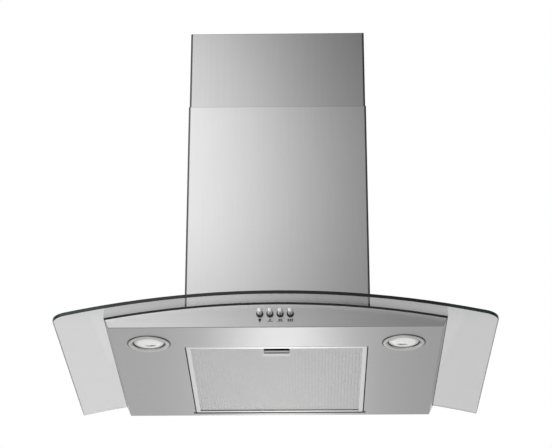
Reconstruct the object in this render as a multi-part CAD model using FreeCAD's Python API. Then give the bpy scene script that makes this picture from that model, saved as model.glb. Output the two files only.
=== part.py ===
import FreeCAD, Part
import math
import os

# A wall mount range hood: a shallow stainless canopy under a bent glass plate, with a blower,
# a duct collar with two damper flaps, and a two-piece duct cover that telescopes.
# All sizes are in millimetres. X runs to the right, Y into the wall and Z up.
# The pieces are built with the wall plane at Y = 0 and the underside of the bottom panel at
# Z = 0. Before they are written they are lowered, so that the origin lies on the wall plane at
# the centre of the four wall screw holes.

# General sheet sizes and clearances
sheet = 1.0               # stainless sheet of the canopy
overrun = 2.0             # how far every cutting tool runs past the face it cuts
slip_gap = 0.3            # gap between pieces that may move or settle against each other
running_gap = 0.03        # radial clearance of a shaft or pin in its bore
tuck = 0.4                # how far two parts of one piece run into each other

# Bent glass plate
glass_width = 749.0
glass_depth = 500.0
glass_thickness = 6.0
glass_crown = 43.5        # height of the underside at the middle
glass_bend_radius = 1660.0
glass_corner_radius = 21.0
glass_edge_round = 1.2
notch_side_room = 13.0    # from the blower box to the notch's side
notch_depth = 244.0
notch_corner_radius = 12.0

# Canopy body
body_top_width = 580.0
body_bottom_width = 567.5
body_top_front = 460.5    # distance of the front panel's top edge from the wall
body_bottom_front = 455.5
body_fold_radius = 1.5
gasket_thickness = 4.0
gasket_width = 11.0
filter_gap = 1.6          # gap around the filter cassette
rim_height = 9.0          # upturned rim around the filter opening

# Wall screws
wall_plate = 1.5
wall_screw_inset = 18.0   # from the side of the upper plate to the screws
wall_screw_low = 24.0     # height of the lower pair above the bottom panel
wall_screw_rise = 320.0   # from the lower pair to the upper pair
wall_screw_hole = 4.0     # radius
wall_plate_margin = 10.0  # plate above the upper pair of holes

# Filter cassette
filter_width = 315.2
filter_depth = 345.0
filter_thickness = 9.0
filter_rear = 17.5        # distance of the rear edge from the wall
filter_bar = 8.0
filter_wall = 0.8
filter_corner_radius = 2.5
filter_pivot_round = 1.0   # rounded lower edge at the rear, which the cassette tilts on
mesh_thickness = 5.6      # height of the channel that the mesh lies in
mesh_sheet = 0.8
mesh_lip = 1.3            # height of the frame's lower lip
mesh_tuck = 5.0           # how far the mesh runs into the frame's channel
mesh_ribs = 50
mesh_rib_depth = 0.5
tab_width = 20.0
tab_thickness = 1.5
tab_reach = 7.0
tab_inset = 67.6          # from the cassette's side to the tab's middle

# Filter latch
latch_width = 43.0
latch_front = 352.5       # distance of the finger slot's front edge from the wall
finger_slot = 9.5
latch_lip = 9.5           # depth of the pull lip behind the slot
latch_travel = 5.0
latch_wall = 1.0
latch_tail = 15.0         # spring pocket behind the pull lip
latch_tail_step = 0.4     # how far the spring pocket stands above the mesh
latch_height = 8.2
latch_plate = 1.6
tongue_width = 12.0
tongue_thickness = 1.9
tongue_reach = 4.0        # past the front edge of the cassette
latch_spring_radius = 1.2
latch_spring_wire = 0.4
latch_spring_turns = 6

# Lamps
lamp_spacing = 439.6
lamp_front = 381.8        # distance of the lamp centres from the wall
trim_radius = 35.5
trim_inner_radius = 27.5
trim_proud = 2.6
trim_collar_radius = 30.5
trim_collar_height = 9.0
trim_edge_round = 2.2     # both lower edges of the ring
lens_radius = 25.8
lens_bulge = 3.4
lens_thickness = 2.6
lens_sink = 1.2           # height of the lens rim above the panel's underside
lens_pip_radius = 3.2
lens_pip_height = 1.0
cup_radius = 27.2
cup_wall = 1.2
board_radius = 22.0
board_thickness = 1.6
diode_count = 6
diode_size = 3.2
diode_height = 0.9
diode_circle_radius = 13.0
clip_width = 9.0
clip_reach = 8.0
clip_thickness = 0.8

# Buttons and switch block
button_radius = 4.3
button_length = 21.5      # in front of the panel
button_round = 2.2
button_pitch = 17.2
button_centre_x = -0.7
button_height = 22.8
button_travel = 3.0
button_stem_radius = 2.5
bezel_radius = 6.0
bezel_proud = 3.4
bezel_round = 0.8
bezel_depth = 3.0
switch_depth = 30.0
switch_margin = 9.0
switch_rise = 26.0
switch_wall = 2.0
switch_ear = 8.0
plunger_gap = 0.6
button_spring_radius = 3.2
button_spring_wire = 0.6
button_spring_turns = 5

# Lower and upper duct covers
cover_sheet = 0.8
cover_bend_radius = 1.6
lower_cover_width = 334.0
lower_cover_depth = 280.0
lower_cover_top = 516.0
cover_return = 15.0
cover_step = 0.6          # gap between the two covers
upper_cover_top = 675.0
upper_cover_length = 400.0

# Brackets and screws of the covers
bracket_sheet = 1.5
foot_bracket_height = 30.0
foot_bracket_low = 70.0
foot_bracket_depth = 32.0
foot_bracket_back = 10.0
ceiling_bracket_height = 38.0
ceiling_bracket_drop = 12.0
ceiling_plate_inset = 20.6  # from the upper cover's outside to the plate's end
ceiling_arm = 14.0
ceiling_ear = 34.0
ceiling_hole_spacing = 200.0
ceiling_hole_radius = 3.2
cover_screw_radius = 2.0
cover_screw_length = 7.0
cover_head_radius = 4.0
cover_head_height = 1.6
socket_radius = 1.3
socket_depth = 0.9

# Glass screws
glass_screw_gap = 15.5    # from the notch's side to the screws
glass_screw_rear = 45.0
glass_screw_pitch = 175.0
glass_hole_radius = 6.0
washer_radius = 10.0
washer_cap = 1.4
glass_screw_radius = 3.0
glass_head_radius = 5.6
glass_head_height = 2.6
glass_nut_height = 2.4

# Blower box
box_side_room = 49.0      # from the blower box to the outside of the lower cover
box_depth = 230.0
box_top = 300.0
box_sheet = 1.0
box_flange = 9.0
plate_opening_margin = 6.0
box_screw_radius = 1.6
box_screw_head = 3.2

# Scroll housing
scroll_width = 124.0
scroll_wall = 2.0
scroll_first_radius = 72.0
scroll_growth = 7.0
scroll_axis_height = 160.0
scroll_axis_depth = 103.5
inlet_radius = 50.0
inlet_ring_lip = 6.0
inlet_ring_depth = 7.0
inlet_ring_wall = 1.6
scroll_foot = 12.0

# Impeller
impeller_radius = 64.0
impeller_width = 104.0
blade_inner_radius = 52.0
blade_count = 30
blade_thickness = 1.0
blade_curve_radius = 10.0
ring_width = 4.0
ring_thickness = 2.0
disc_thickness = 2.0
hub_radius = 12.0
hub_length = 20.0
shaft_radius = 4.0
shaft_length = 82.0
shaft_start = 14.0        # how far the shaft reaches past the disc

# Motor
motor_radius = 38.0
motor_start = 12.0        # gap from the impeller's disc
motor_length = 58.0
motor_wall = 1.6
bearing_radius = 9.0
bearing_width = 6.0
stator_outer = 36.0
stator_inner = 20.0
stator_length = 30.0
rotor_gap = 0.6
motor_arm_count = 3
motor_arm_width = 12.0
motor_arm_thickness = 2.0
motor_ring_wall = 3.0
motor_arm_first = 180.0   # degrees; the first arm points straight down

# Duct collar and dampers
collar_radius = 75.0
collar_wall = 1.5
collar_length = 50.0
collar_flange = 9.0
collar_flange_thickness = 1.5
ledge_width = 2.5
ledge_height = 6.0
ledge_thickness = 2.0
flap_thickness = 1.2
flap_pin_radius = 1.5
flap_pin_offset = 3.6
flap_barrel_radius = 2.9
flap_barrel_cut = 12.0    # how far the barrel stops short of the collar wall
flap_edge_gap = 0.8

# Electrical pieces
terminal_width = 32.0
terminal_depth = 80.0
terminal_height = 80.0
terminal_drop = 40.0      # from the blower box's top to the connection box's top
terminal_front = 160.0
terminal_wall = 2.0
terminal_cover_thickness = 2.0
strip_ways = 5
strip_pitch = 10.0
strip_height = 14.0
strip_depth = 12.0
strip_screw_radius = 2.0
strip_screw_height = 1.2
gland_radius = 9.0
gland_bore = 4.5
gland_height = 16.0
gland_nut_height = 5.0
capacitor_radius = 14.0
capacitor_height = 55.0
capacitor_low = 75.0
capacitor_wall_gap = 9.0  # from the blower box's side to the capacitor
capacitor_front = 206.0
strap_width = 14.0
strap_thickness = 1.0
driver_length = 110.0
driver_width = 52.0
driver_height = 15.0
driver_x = 240.0
driver_front = 290.0
driver_round = 2.0

# Wiring
loom_radius = 2.5
loom_height = 30.0
loom_wall_gap = 14.0      # from the blower box's side to the loom's middle
loom_turn_y = 392.0
loom_rise_y = 190.0
loom_exit_height = 205.0
loom_bend = 14.0
loom_start_x = 22.0
lead_radius = 1.8
lead_bend = 12.0
lead_height = 15.0
clip_band = 6.0
clip_wall = 0.8
clip_first_y = 350.0
clip_pitch = 60.0
loom_clip_count = 2

V = FreeCAD.Vector
arc_centre = glass_crown - glass_bend_radius
gasket_radius = glass_bend_radius - gasket_thickness
filter_front = filter_rear + filter_depth
tab_spacing = filter_width - 2 * tab_inset
box_width = lower_cover_width - 2 * box_side_room
notch_width = box_width + 2 * notch_side_room
glass_screw_spacing = notch_width + 2 * glass_screw_gap
wall_screw_spacing_x = box_width - 2 * wall_screw_inset
terminal_low = box_top - terminal_drop - terminal_height
capacitor_x = box_width / 2 - capacitor_wall_gap - capacitor_radius
loom_x = box_width / 2 - loom_wall_gap
origin_height = wall_screw_low + wall_screw_rise / 2
wall_plate_top = wall_screw_low + wall_screw_rise + wall_plate_margin


def box(x0, x1, y0, y1, z0, z1):
    return Part.makeBox(x1 - x0, y1 - y0, z1 - z0, V(x0, y0, z0))


def cylinder(radius, length, base, direction):
    return Part.makeCylinder(radius, length, base, direction)


def tube(outer, inner, length, base, direction):
    start = base - direction * overrun
    return cylinder(outer, length, base, direction).cut(
        cylinder(inner, length + 2 * overrun, start, direction)
    )


def prism(points, along):
    wire = Part.makePolygon(points + points[:1])
    return Part.Face(wire).extrude(along)


def rounded_box(x0, x1, y0, y1, z0, z1, radius, keep):
    """A box whose upright edges are rounded where keep(edge centre) is true."""
    block = box(x0, x1, y0, y1, z0, z1)
    edges = [e for e in block.Edges if e.BoundBox.ZLength > (z1 - z0) / 2 and keep(e.CenterOfMass)]
    return block.makeFillet(radius, edges)


def arc_height(radius, x):
    """Height at x of a cylinder face that is concentric with the glass."""
    return arc_centre + math.sqrt(radius ** 2 - x ** 2)


def roll(radius, front, back):
    """The round solid under a cylinder face that is concentric with the glass."""
    return cylinder(radius, front - back, V(0, -front, arc_centre), V(0, 1, 0))


def band(inner, outer, front, back):
    """A bent sheet between two faces that are concentric with the glass."""
    clip = box(-glass_width, glass_width, -front, -back, -glass_width, glass_width)
    return roll(outer, front, back).cut(roll(inner, front + overrun, back - overrun)).common(clip)


def join(shapes):
    whole = shapes[0].multiFuse(shapes[1:])
    return whole.removeSplitter()


def mirror_x(shape):
    return shape.mirror(V(0, 0, 0), V(1, 0, 0))


def pair(shape):
    return Part.makeCompound([shape, mirror_x(shape)])


def helix(radius, wire, pitch, turns, base, direction):
    """A round wire coil of the given mean radius that starts at base and runs along direction."""
    path = Part.makeHelix(pitch, pitch * turns, radius)
    profile = Part.Wire([Part.makeCircle(wire / 2, V(radius, 0, 0), V(0, 1, 0))])
    coil = Part.Wire(path).makePipeShell([profile], True, True)
    turn = FreeCAD.Rotation(V(0, 0, 1), direction)
    coil.Placement = FreeCAD.Placement(base, turn)
    return coil


def path_tube(points, radius, bend):
    """A round tube along straight runs that are joined by tangent arcs."""
    edges = []
    here = points[0]
    for before, corner, after in zip(points, points[1:], points[2:]):
        back = (before - corner).normalize()
        on = (after - corner).normalize()
        half = back.getAngle(on) / 2
        reach = bend / math.tan(half)
        start = corner + back * reach
        end = corner + on * reach
        inward = (back + on).normalize()
        middle = corner + inward * (bend / math.sin(half) - bend)
        edges.append(Part.LineSegment(here, start).toShape())
        edges.append(Part.Arc(start, middle, end).toShape())
        here = end
    edges.append(Part.LineSegment(here, points[-1]).toShape())
    first = (points[1] - points[0]).normalize()
    profile = Part.Wire([Part.makeCircle(radius, points[0], first)])
    return Part.Wire(edges).makePipeShell([profile], True, False)


# Canopy body

body_side_top = arc_height(gasket_radius, body_top_width / 2)
body_side_slope = (body_top_width - body_bottom_width) / 2 / body_side_top
body_front_slope = (body_top_front - body_bottom_front) / arc_height(gasket_radius, 0)


def body_half_width(z):
    return body_bottom_width / 2 + body_side_slope * z


def body_front(z):
    return body_bottom_front + body_front_slope * z


def body_prism(inset, low, high):
    """The space inside the canopy's walls, drawn in by inset, between two heights."""
    side = inset * math.hypot(1, body_side_slope)
    front = inset * math.hypot(1, body_front_slope)
    corners = []
    for z in (low, high):
        corners.append((body_half_width(z) - side, body_front(z) - front, z))
    rings = []
    for w, f, z in corners:
        ring = [V(-w, -f, z), V(w, -f, z), V(w, 0, z), V(-w, 0, z)]
        rings.append(Part.makePolygon(ring + ring[:1]))
    return Part.makeLoft(rings, True, True)


def filter_window(margin, low, high):
    """The cassette's outline, widened by margin."""
    half = filter_width / 2 + margin
    return rounded_box(
        -half, half, -filter_front - margin, -filter_rear + margin, low, high,
        filter_corner_radius + margin, lambda p: True,
    )


def button_places():
    first = button_centre_x - button_pitch * 3 / 2
    return [first + button_pitch * i for i in range(4)]


def canopy_body():
    crown = arc_height(gasket_radius, 0)
    outer = body_prism(0, 0, crown + overrun)
    folds = [
        e for e in outer.Edges
        if (e.BoundBox.ZMax < sheet and e.CenterOfMass.y < -sheet)
        or (e.BoundBox.ZLength > crown / 2 and e.CenterOfMass.y < -body_bottom_front / 2)
    ]
    outer = outer.makeFillet(body_fold_radius, folds)
    outer = outer.common(roll(gasket_radius, body_top_front + overrun, 0))
    cavity = body_prism(sheet, sheet, crown + 2 * overrun)
    shell = outer.cut(cavity)
    rim_outer = filter_window(filter_gap + sheet, 0, rim_height)
    rim_rear = box(
        -filter_width, filter_width, -filter_rear - filter_corner_radius, 0, sheet, rim_height + overrun
    )
    shell = join([shell, rim_outer.cut(rim_rear)])
    shell = shell.cut(filter_window(filter_gap, -overrun, rim_height + overrun))
    half = tongue_width / 2 + slip_gap
    keeper_front = filter_front + filter_gap
    keeper = box(
        -half, half, -keeper_front - 2 * sheet, -keeper_front + overrun,
        sheet, sheet + 2 * slip_gap + tongue_thickness,
    )
    shell = shell.cut(keeper)
    for side in (-1, 1):
        centre = V(side * lamp_spacing / 2, -lamp_front, -overrun)
        hole = cylinder(trim_collar_radius + slip_gap, sheet + 2 * overrun, centre, V(0, 0, 1))
        shell = shell.cut(hole)
    for x in button_places():
        start = V(x, -body_top_front - overrun, button_height)
        depth = body_top_front - body_bottom_front + sheet + 2 * overrun
        shell = shell.cut(cylinder(button_radius + 2 * slip_gap, depth, start, V(0, 1, 0)))
    return shell


def top_plate():
    """The rolled sheet that closes the canopy under the glass."""
    crown = arc_height(gasket_radius, 0)
    room = body_prism(sheet, 0, crown + overrun)
    room = room.cut(box(-body_top_width, body_top_width, -wall_plate, overrun, -overrun, crown + 2 * overrun))
    plate = band(gasket_radius - sheet, gasket_radius, body_top_front, 0).common(room)
    half = box_width / 2 - plate_opening_margin
    opening = box(
        -half, half, -wall_plate - box_depth + plate_opening_margin, -wall_plate - plate_opening_margin,
        0, crown + overrun,
    )
    plate = plate.cut(opening)
    for x, y in glass_screw_places():
        plate = plate.cut(cylinder(glass_screw_radius + slip_gap, crown, V(x, y, overrun), V(0, 0, 1)))
    return plate


def back_plate():
    """The wall plate: it closes the rear of the canopy and rises behind the blower."""
    crown = arc_height(gasket_radius, 0)
    lower = body_prism(sheet, sheet, crown + overrun).common(roll(gasket_radius, wall_plate, 0))
    half = box_width / 2
    upper = box(-half, half, -wall_plate, 0, crown - box_flange, wall_plate_top)
    plate = join([lower, upper])
    for side in (-1, 1):
        for z in (wall_screw_low, wall_screw_low + wall_screw_rise):
            start = V(side * wall_screw_spacing_x / 2, -wall_plate - overrun, z)
            hole = cylinder(wall_screw_hole, wall_plate + 2 * overrun, start, V(0, 1, 0))
            plate = plate.cut(hole)
    return plate


def glass_gasket():
    """A black rubber strip between the canopy's front and side edges and the glass."""
    low = body_side_top - overrun
    high = glass_crown + overrun
    strip = body_prism(0, low, high).cut(body_prism(gasket_width, low - overrun, high + overrun))
    return strip.common(band(gasket_radius, glass_bend_radius, body_top_front + overrun, 0))


# Glass plate

def glass_screw_places():
    places = []
    for side in (-1, 1):
        for step in (0, 1):
            y = -glass_screw_rear - step * glass_screw_pitch
            places.append((side * glass_screw_spacing / 2, y))
    return places


def glass_canopy():
    half = glass_width / 2
    low = arc_height(glass_bend_radius, half) - glass_thickness
    high = glass_crown + 2 * glass_thickness
    plan = rounded_box(
        -half, half, -glass_depth, 0, low, high, glass_corner_radius,
        lambda p: p.y < -glass_depth / 2,
    )
    plate = plan.common(band(glass_bend_radius, glass_bend_radius + glass_thickness, glass_depth, 0))
    front = [e for e in plate.Edges if e.BoundBox.YMax < -glass_depth + glass_corner_radius + overrun]
    front = [e for e in front if e.BoundBox.XLength > glass_thickness]
    plate = plate.makeFillet(glass_edge_round, front)
    notch = rounded_box(
        -notch_width / 2, notch_width / 2, -notch_depth, overrun, low - overrun, high + overrun,
        notch_corner_radius, lambda p: p.y < -notch_depth / 2,
    )
    plate = plate.cut(notch)
    for x, y in glass_screw_places():
        plate = plate.cut(cylinder(glass_hole_radius, high - low, V(x, y, low), V(0, 0, 1)))
    return plate


def glass_seat(x):
    """Height of the glass's top face at a screw, at the washer's outer rim."""
    return arc_height(glass_bend_radius + glass_thickness, abs(x) - washer_radius)


def glass_washers():
    """Plastic bushes that keep the steel screws off the glass."""
    washers = []
    for x, y in glass_screw_places():
        top = glass_seat(x)
        bottom = arc_height(gasket_radius, abs(x) - glass_hole_radius)
        cap = cylinder(washer_radius, washer_cap, V(x, y, top), V(0, 0, 1))
        neck = cylinder(glass_hole_radius - slip_gap, top - bottom + tuck, V(x, y, bottom), V(0, 0, 1))
        bore_base = V(x, y, bottom - overrun)
        bore = cylinder(glass_screw_radius + slip_gap, top - bottom + 3 * overrun, bore_base, V(0, 0, 1))
        washers.append(cap.fuse(neck).removeSplitter().cut(bore))
    return Part.makeCompound(washers)


def glass_screws():
    screws = []
    for x, y in glass_screw_places():
        top = glass_seat(x) + washer_cap
        low = arc_height(gasket_radius - sheet, abs(x) + glass_head_radius) - glass_nut_height
        shank = cylinder(glass_screw_radius, top - low + tuck, V(x, y, low), V(0, 0, 1))
        head = cylinder(glass_head_radius, glass_head_height, V(x, y, top), V(0, 0, 1))
        rim = [e for e in head.Edges if e.BoundBox.ZMin > top + glass_head_height / 2]
        head = head.makeFillet(glass_head_height / 3, rim)
        slot_base = V(x, y, top + glass_head_height - socket_depth)
        slot = cylinder(socket_radius, 2 * socket_depth, slot_base, V(0, 0, 1))
        nut = cylinder(glass_head_radius, glass_nut_height, V(x, y, low), V(0, 0, 1))
        screws.append(join([shank, head, nut]).cut(slot))
    return Part.makeCompound(screws)


# Duct covers

def cover(width, depth, back, bottom, top):
    """A three-sided cover with two narrow returns along the wall."""
    half = width / 2
    inner = half - cover_sheet
    outer_box = rounded_box(
        -half, half, -depth, -back, bottom, top, cover_bend_radius, lambda p: p.y < -depth / 2
    )
    inner_box = rounded_box(
        -inner, inner, -depth + cover_sheet, -back - cover_sheet, bottom - overrun, top + overrun,
        cover_bend_radius - cover_sheet, lambda p: p.y < -depth / 2,
    )
    gap_half = half - cover_return
    gap = box(-gap_half, gap_half, -back - 2 * cover_sheet, overrun, bottom - overrun, top + overrun)
    return outer_box.cut(inner_box).cut(gap)


def side_hole(shape, width, y, z):
    for side in (-1, 1):
        start = V(side * (width / 2 - 2 * cover_head_radius), y, z)
        drill = cylinder(cover_screw_radius + slip_gap / 2, 3 * cover_head_radius, start, V(side, 0, 0))
        shape = shape.cut(drill)
    return shape


foot_screw_y = -foot_bracket_back - foot_bracket_depth * 2 / 3
foot_screw_z = foot_bracket_low + foot_bracket_height / 2
upper_cover_width = lower_cover_width - 2 * (cover_sheet + cover_step)
upper_cover_depth = lower_cover_depth - cover_sheet - cover_step
upper_cover_back = cover_sheet + cover_step
ceiling_plate_width = upper_cover_width - 2 * ceiling_plate_inset
ceiling_low = upper_cover_top - ceiling_bracket_drop - ceiling_bracket_height
ceiling_screw_y = -ceiling_arm - ceiling_ear * 2 / 3
ceiling_screw_z = ceiling_low + ceiling_bracket_height / 2


def lower_duct_cover():
    low = arc_height(glass_bend_radius, lower_cover_width / 2)
    shell = cover(lower_cover_width, lower_cover_depth, 0, low, lower_cover_top)
    shell = shell.cut(roll(glass_bend_radius + glass_thickness + slip_gap, glass_depth, -overrun))
    return side_hole(shell, lower_cover_width, foot_screw_y, foot_screw_z)


def upper_duct_cover():
    bottom = upper_cover_top - upper_cover_length
    shell = cover(upper_cover_width, upper_cover_depth, upper_cover_back, bottom, upper_cover_top)
    return side_hole(shell, upper_cover_width, ceiling_screw_y, ceiling_screw_z)


def cover_foot_brackets():
    """Two brackets from the blower box's sides to the inner sides of the lower cover."""
    low = foot_bracket_low
    high = low + foot_bracket_height
    inner = box_width / 2
    outer = lower_cover_width / 2 - cover_sheet
    front = -foot_bracket_back - foot_bracket_depth
    foot = box(inner, inner + bracket_sheet, front, -foot_bracket_back, low, high)
    web = box(inner, outer, -foot_bracket_back - bracket_sheet, -foot_bracket_back, low, high)
    ear = box(outer - bracket_sheet, outer, front, -foot_bracket_back, low, high)
    bracket = join([foot, web, ear])
    start = V(outer - 2 * bracket_sheet, foot_screw_y, foot_screw_z)
    bracket = bracket.cut(cylinder(cover_screw_radius, 3 * bracket_sheet, start, V(1, 0, 0)))
    return pair(bracket)


def ceiling_bracket():
    """The wall bracket that carries the top of the upper cover."""
    low = ceiling_low
    high = low + ceiling_bracket_height
    half = ceiling_plate_width / 2
    inner = upper_cover_width / 2 - cover_sheet
    back = bracket_sheet * 2 / 3
    front = back + ceiling_arm
    plate = box(-half, half, -back, 0, low, high)
    pieces = [plate]
    for side in (-1, 1):
        near, far = sorted((side * (half - bracket_sheet), side * half))
        pieces.append(box(near, far, -front, 0, low, high))
        near, far = sorted((side * (half - bracket_sheet), side * inner))
        pieces.append(box(near, far, -front, -front + bracket_sheet, low, high))
        near, far = sorted((side * (inner - bracket_sheet), side * inner))
        pieces.append(box(near, far, -front - ceiling_ear, -front + bracket_sheet, low, high))
    bracket = join(pieces)
    for side in (-1, 1):
        z = ceiling_screw_z
        start = V(side * ceiling_hole_spacing / 2, -back - overrun, z)
        bracket = bracket.cut(cylinder(ceiling_hole_radius, back + 2 * overrun, start, V(0, 1, 0)))
        start = V(side * (inner - 2 * bracket_sheet), ceiling_screw_y, z)
        bracket = bracket.cut(cylinder(cover_screw_radius, 3 * bracket_sheet, start, V(side, 0, 0)))
    return bracket


def cover_screw(width, y, z):
    """A pan head screw through the right side of a cover."""
    face = width / 2
    head = cylinder(cover_head_radius, cover_head_height, V(face, y, z), V(1, 0, 0))
    rim = [e for e in head.Edges if e.BoundBox.XMin > face + cover_head_height / 2]
    head = head.makeFillet(cover_head_height / 2, rim)
    shank_base = V(face - cover_screw_length, y, z)
    shank = cylinder(cover_screw_radius, cover_screw_length + tuck, shank_base, V(1, 0, 0))
    socket_base = V(face + cover_head_height - socket_depth, y, z)
    socket = cylinder(socket_radius, 2 * socket_depth, socket_base, V(1, 0, 0))
    return join([head, shank]).cut(socket)


def cover_screws():
    return pair(cover_screw(lower_cover_width, foot_screw_y, foot_screw_z))


def ceiling_screws():
    return pair(cover_screw(upper_cover_width, ceiling_screw_y, ceiling_screw_z))


# Blower

box_front = wall_plate + box_depth
scroll_axis = V(0, -scroll_axis_depth, scroll_axis_height)
scroll_outlet = scroll_first_radius + 3 * scroll_growth
collar_centre_y = -scroll_axis_depth - scroll_outlet / 2


def blower_box():
    """The sheet steel case around the scroll, open to the canopy below."""
    half = box_width / 2
    low = arc_height(gasket_radius, half + box_flange) - overrun
    outer = box(-half, half, -box_front, -wall_plate, low, box_top)
    inner = box(
        -half + box_sheet, half - box_sheet, -box_front + box_sheet, -wall_plate - box_sheet,
        low - overrun, box_top - box_sheet,
    )
    rim = half + box_flange
    flange = box(-rim, rim, -box_front - box_flange, -wall_plate, low, box_top)
    flange = flange.common(band(gasket_radius, gasket_radius + box_sheet, glass_depth, 0))
    case = join([outer.cut(roll(gasket_radius, glass_depth, 0)), flange]).cut(inner)
    outlet = V(0, collar_centre_y, box_top - 2 * box_sheet)
    case = case.cut(cylinder(collar_radius - collar_wall, 3 * box_sheet, outlet, V(0, 0, 1)))
    port = V(half - 2 * box_sheet, -loom_rise_y, loom_exit_height)
    case = case.cut(cylinder(loom_radius + slip_gap, 3 * box_sheet, port, V(1, 0, 0)))
    for x, y in box_screw_places():
        case = case.cut(cylinder(box_screw_radius, box_top / 2, V(x, y, low - overrun), V(0, 0, 1)))
    return case


def box_screw_places():
    """Places of the sheet screws in the front and side flanges of the case."""
    out = box_width / 2 + box_flange / 2
    front = -box_front - box_flange / 2
    step = box_depth / 3
    places = [(side * box_width / 3, front) for side in (-1, 1)]
    for side in (-1, 1):
        for i in (1, 2):
            places.append((side * out, -wall_plate - step * i))
    return places


def box_screws():
    screws = []
    for x, y in box_screw_places():
        top = arc_height(gasket_radius + box_sheet, abs(x) - box_screw_head)
        low = arc_height(gasket_radius, x) + slip_gap
        head = cylinder(box_screw_head, box_screw_radius, V(x, y, top), V(0, 0, 1))
        shank_base = V(x, y, low)
        shank = cylinder(box_screw_radius - slip_gap / 2, top - low + tuck, shank_base, V(0, 0, 1))
        screws.append(join([head, shank]))
    return Part.makeCompound(screws)


def scroll_face(wall, top):
    """The spiral's outline in the YZ plane, drawn in by wall: three arcs and an upright outlet."""
    grow = scroll_growth
    first = V(0, scroll_axis.y, scroll_axis.z)
    second = first - V(0, grow, 0)
    third = second + V(0, 0, grow)
    radii = [scroll_first_radius - wall + grow * i for i in range(3)]
    near = scroll_axis.y - wall
    tongue = V(0, near, first.z + math.sqrt(radii[0] ** 2 - wall ** 2))
    rear = first + V(0, radii[0], 0)
    bottom = second - V(0, 0, radii[1])
    front = third - V(0, radii[2], 0)
    diagonal = math.sqrt(1 / 2)
    mid_one = first + V(0, diagonal, diagonal) * radii[0]
    mid_two = second + V(0, diagonal, -diagonal) * radii[1]
    mid_three = third + V(0, -diagonal, -diagonal) * radii[2]
    edges = [
        Part.LineSegment(V(0, near, top), tongue).toShape(),
        Part.Arc(tongue, mid_one, rear).toShape(),
        Part.Arc(rear, mid_two, bottom).toShape(),
        Part.Arc(bottom, mid_three, front).toShape(),
        Part.LineSegment(front, V(0, front.y, top)).toShape(),
        Part.LineSegment(V(0, front.y, top), V(0, near, top)).toShape(),
    ]
    return Part.Face(Part.Wire(edges))


def scroll_housing():
    """The plastic volute that the impeller turns in, with its outlet at the top of the case."""
    half = scroll_width / 2
    ceiling = box_top - box_sheet
    outer = scroll_face(0, ceiling)
    outer.translate(V(-half, 0, 0))
    inner = scroll_face(scroll_wall, ceiling + overrun)
    inner.translate(V(-half + scroll_wall, 0, 0))
    shell = outer.extrude(V(scroll_width, 0, 0))
    shell = shell.cut(inner.extrude(V(scroll_width - 2 * scroll_wall, 0, 0)))
    foot_low = ceiling - scroll_wall
    foot_near = scroll_axis.y - scroll_outlet
    for side in (-1, 1):
        near, far = sorted((side * (half - tuck), side * (half + scroll_foot)))
        shell = join([shell, box(near, far, foot_near, scroll_axis.y, foot_low, ceiling)])
    start = scroll_axis - V(half + overrun, 0, 0)
    return shell.cut(cylinder(inlet_radius, scroll_width + 2 * overrun, start, V(1, 0, 0)))


def inlet_rings():
    """Bell-mouthed rings in the two inlets of the volute."""
    half = scroll_width / 2
    bore = inlet_radius - inlet_ring_wall
    base = scroll_axis + V(half, 0, 0)
    flange = tube(inlet_radius + inlet_ring_lip, bore, inlet_ring_wall, base, V(1, 0, 0))
    throat = tube(inlet_radius, bore, inlet_ring_depth, base - V(inlet_ring_depth, 0, 0), V(1, 0, 0))
    return pair(join([flange, throat]))


def impeller():
    """A squirrel cage wheel: curved blades between two rings, carried by a middle disc."""
    centre = scroll_axis
    half = impeller_width / 2
    mean = (impeller_radius + blade_inner_radius) / 2
    chord = impeller_radius - blade_inner_radius
    sag = blade_curve_radius - math.sqrt(blade_curve_radius ** 2 - (chord / 2) ** 2)
    thick = blade_thickness / 2
    r0 = blade_inner_radius + ring_thickness / 4
    r1 = impeller_radius - ring_thickness / 4
    blades = []
    for i in range(blade_count):
        edges = [
            Part.Arc(V(0, -thick, r0), V(0, sag - thick, mean), V(0, -thick, r1)).toShape(),
            Part.LineSegment(V(0, -thick, r1), V(0, thick, r1)).toShape(),
            Part.Arc(V(0, thick, r1), V(0, sag + thick, mean), V(0, thick, r0)).toShape(),
            Part.LineSegment(V(0, thick, r0), V(0, -thick, r0)).toShape(),
        ]
        blade = Part.Face(Part.Wire(edges)).extrude(V(impeller_width - ring_thickness, 0, 0))
        blade.translate(V(ring_thickness / 2 - half, 0, 0))
        blade.rotate(V(0, 0, 0), V(1, 0, 0), i * 360 / blade_count)
        blade.translate(centre)
        blades.append(blade)
    rings = []
    for side in (-1, 1):
        start = min(side * half, side * (half - ring_thickness))
        base = centre + V(start, 0, 0)
        inner = impeller_radius - ring_width
        rings.append(tube(impeller_radius, inner, ring_thickness, base, V(1, 0, 0)))
    disc_base = centre - V(disc_thickness / 2, 0, 0)
    disc = cylinder(impeller_radius - ring_thickness, disc_thickness, disc_base, V(1, 0, 0))
    hub = cylinder(hub_radius, hub_length, centre - V(hub_length - hub_radius / 2, 0, 0), V(1, 0, 0))
    wheel = join([disc, hub] + rings + blades)
    bore_base = centre - V(hub_length + overrun, 0, 0)
    return wheel.cut(cylinder(shaft_radius, 2 * hub_length + 2 * overrun, bore_base, V(1, 0, 0)))


def motor_shaft():
    start = scroll_axis - V(shaft_start, 0, 0)
    shaft = cylinder(shaft_radius, shaft_length, start, V(1, 0, 0))
    ends = [e for e in shaft.Edges if e.BoundBox.XLength < tuck]
    return shaft.makeChamfer(shaft_radius / 6, ends)


motor_base = scroll_axis + V(motor_start, 0, 0)


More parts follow.
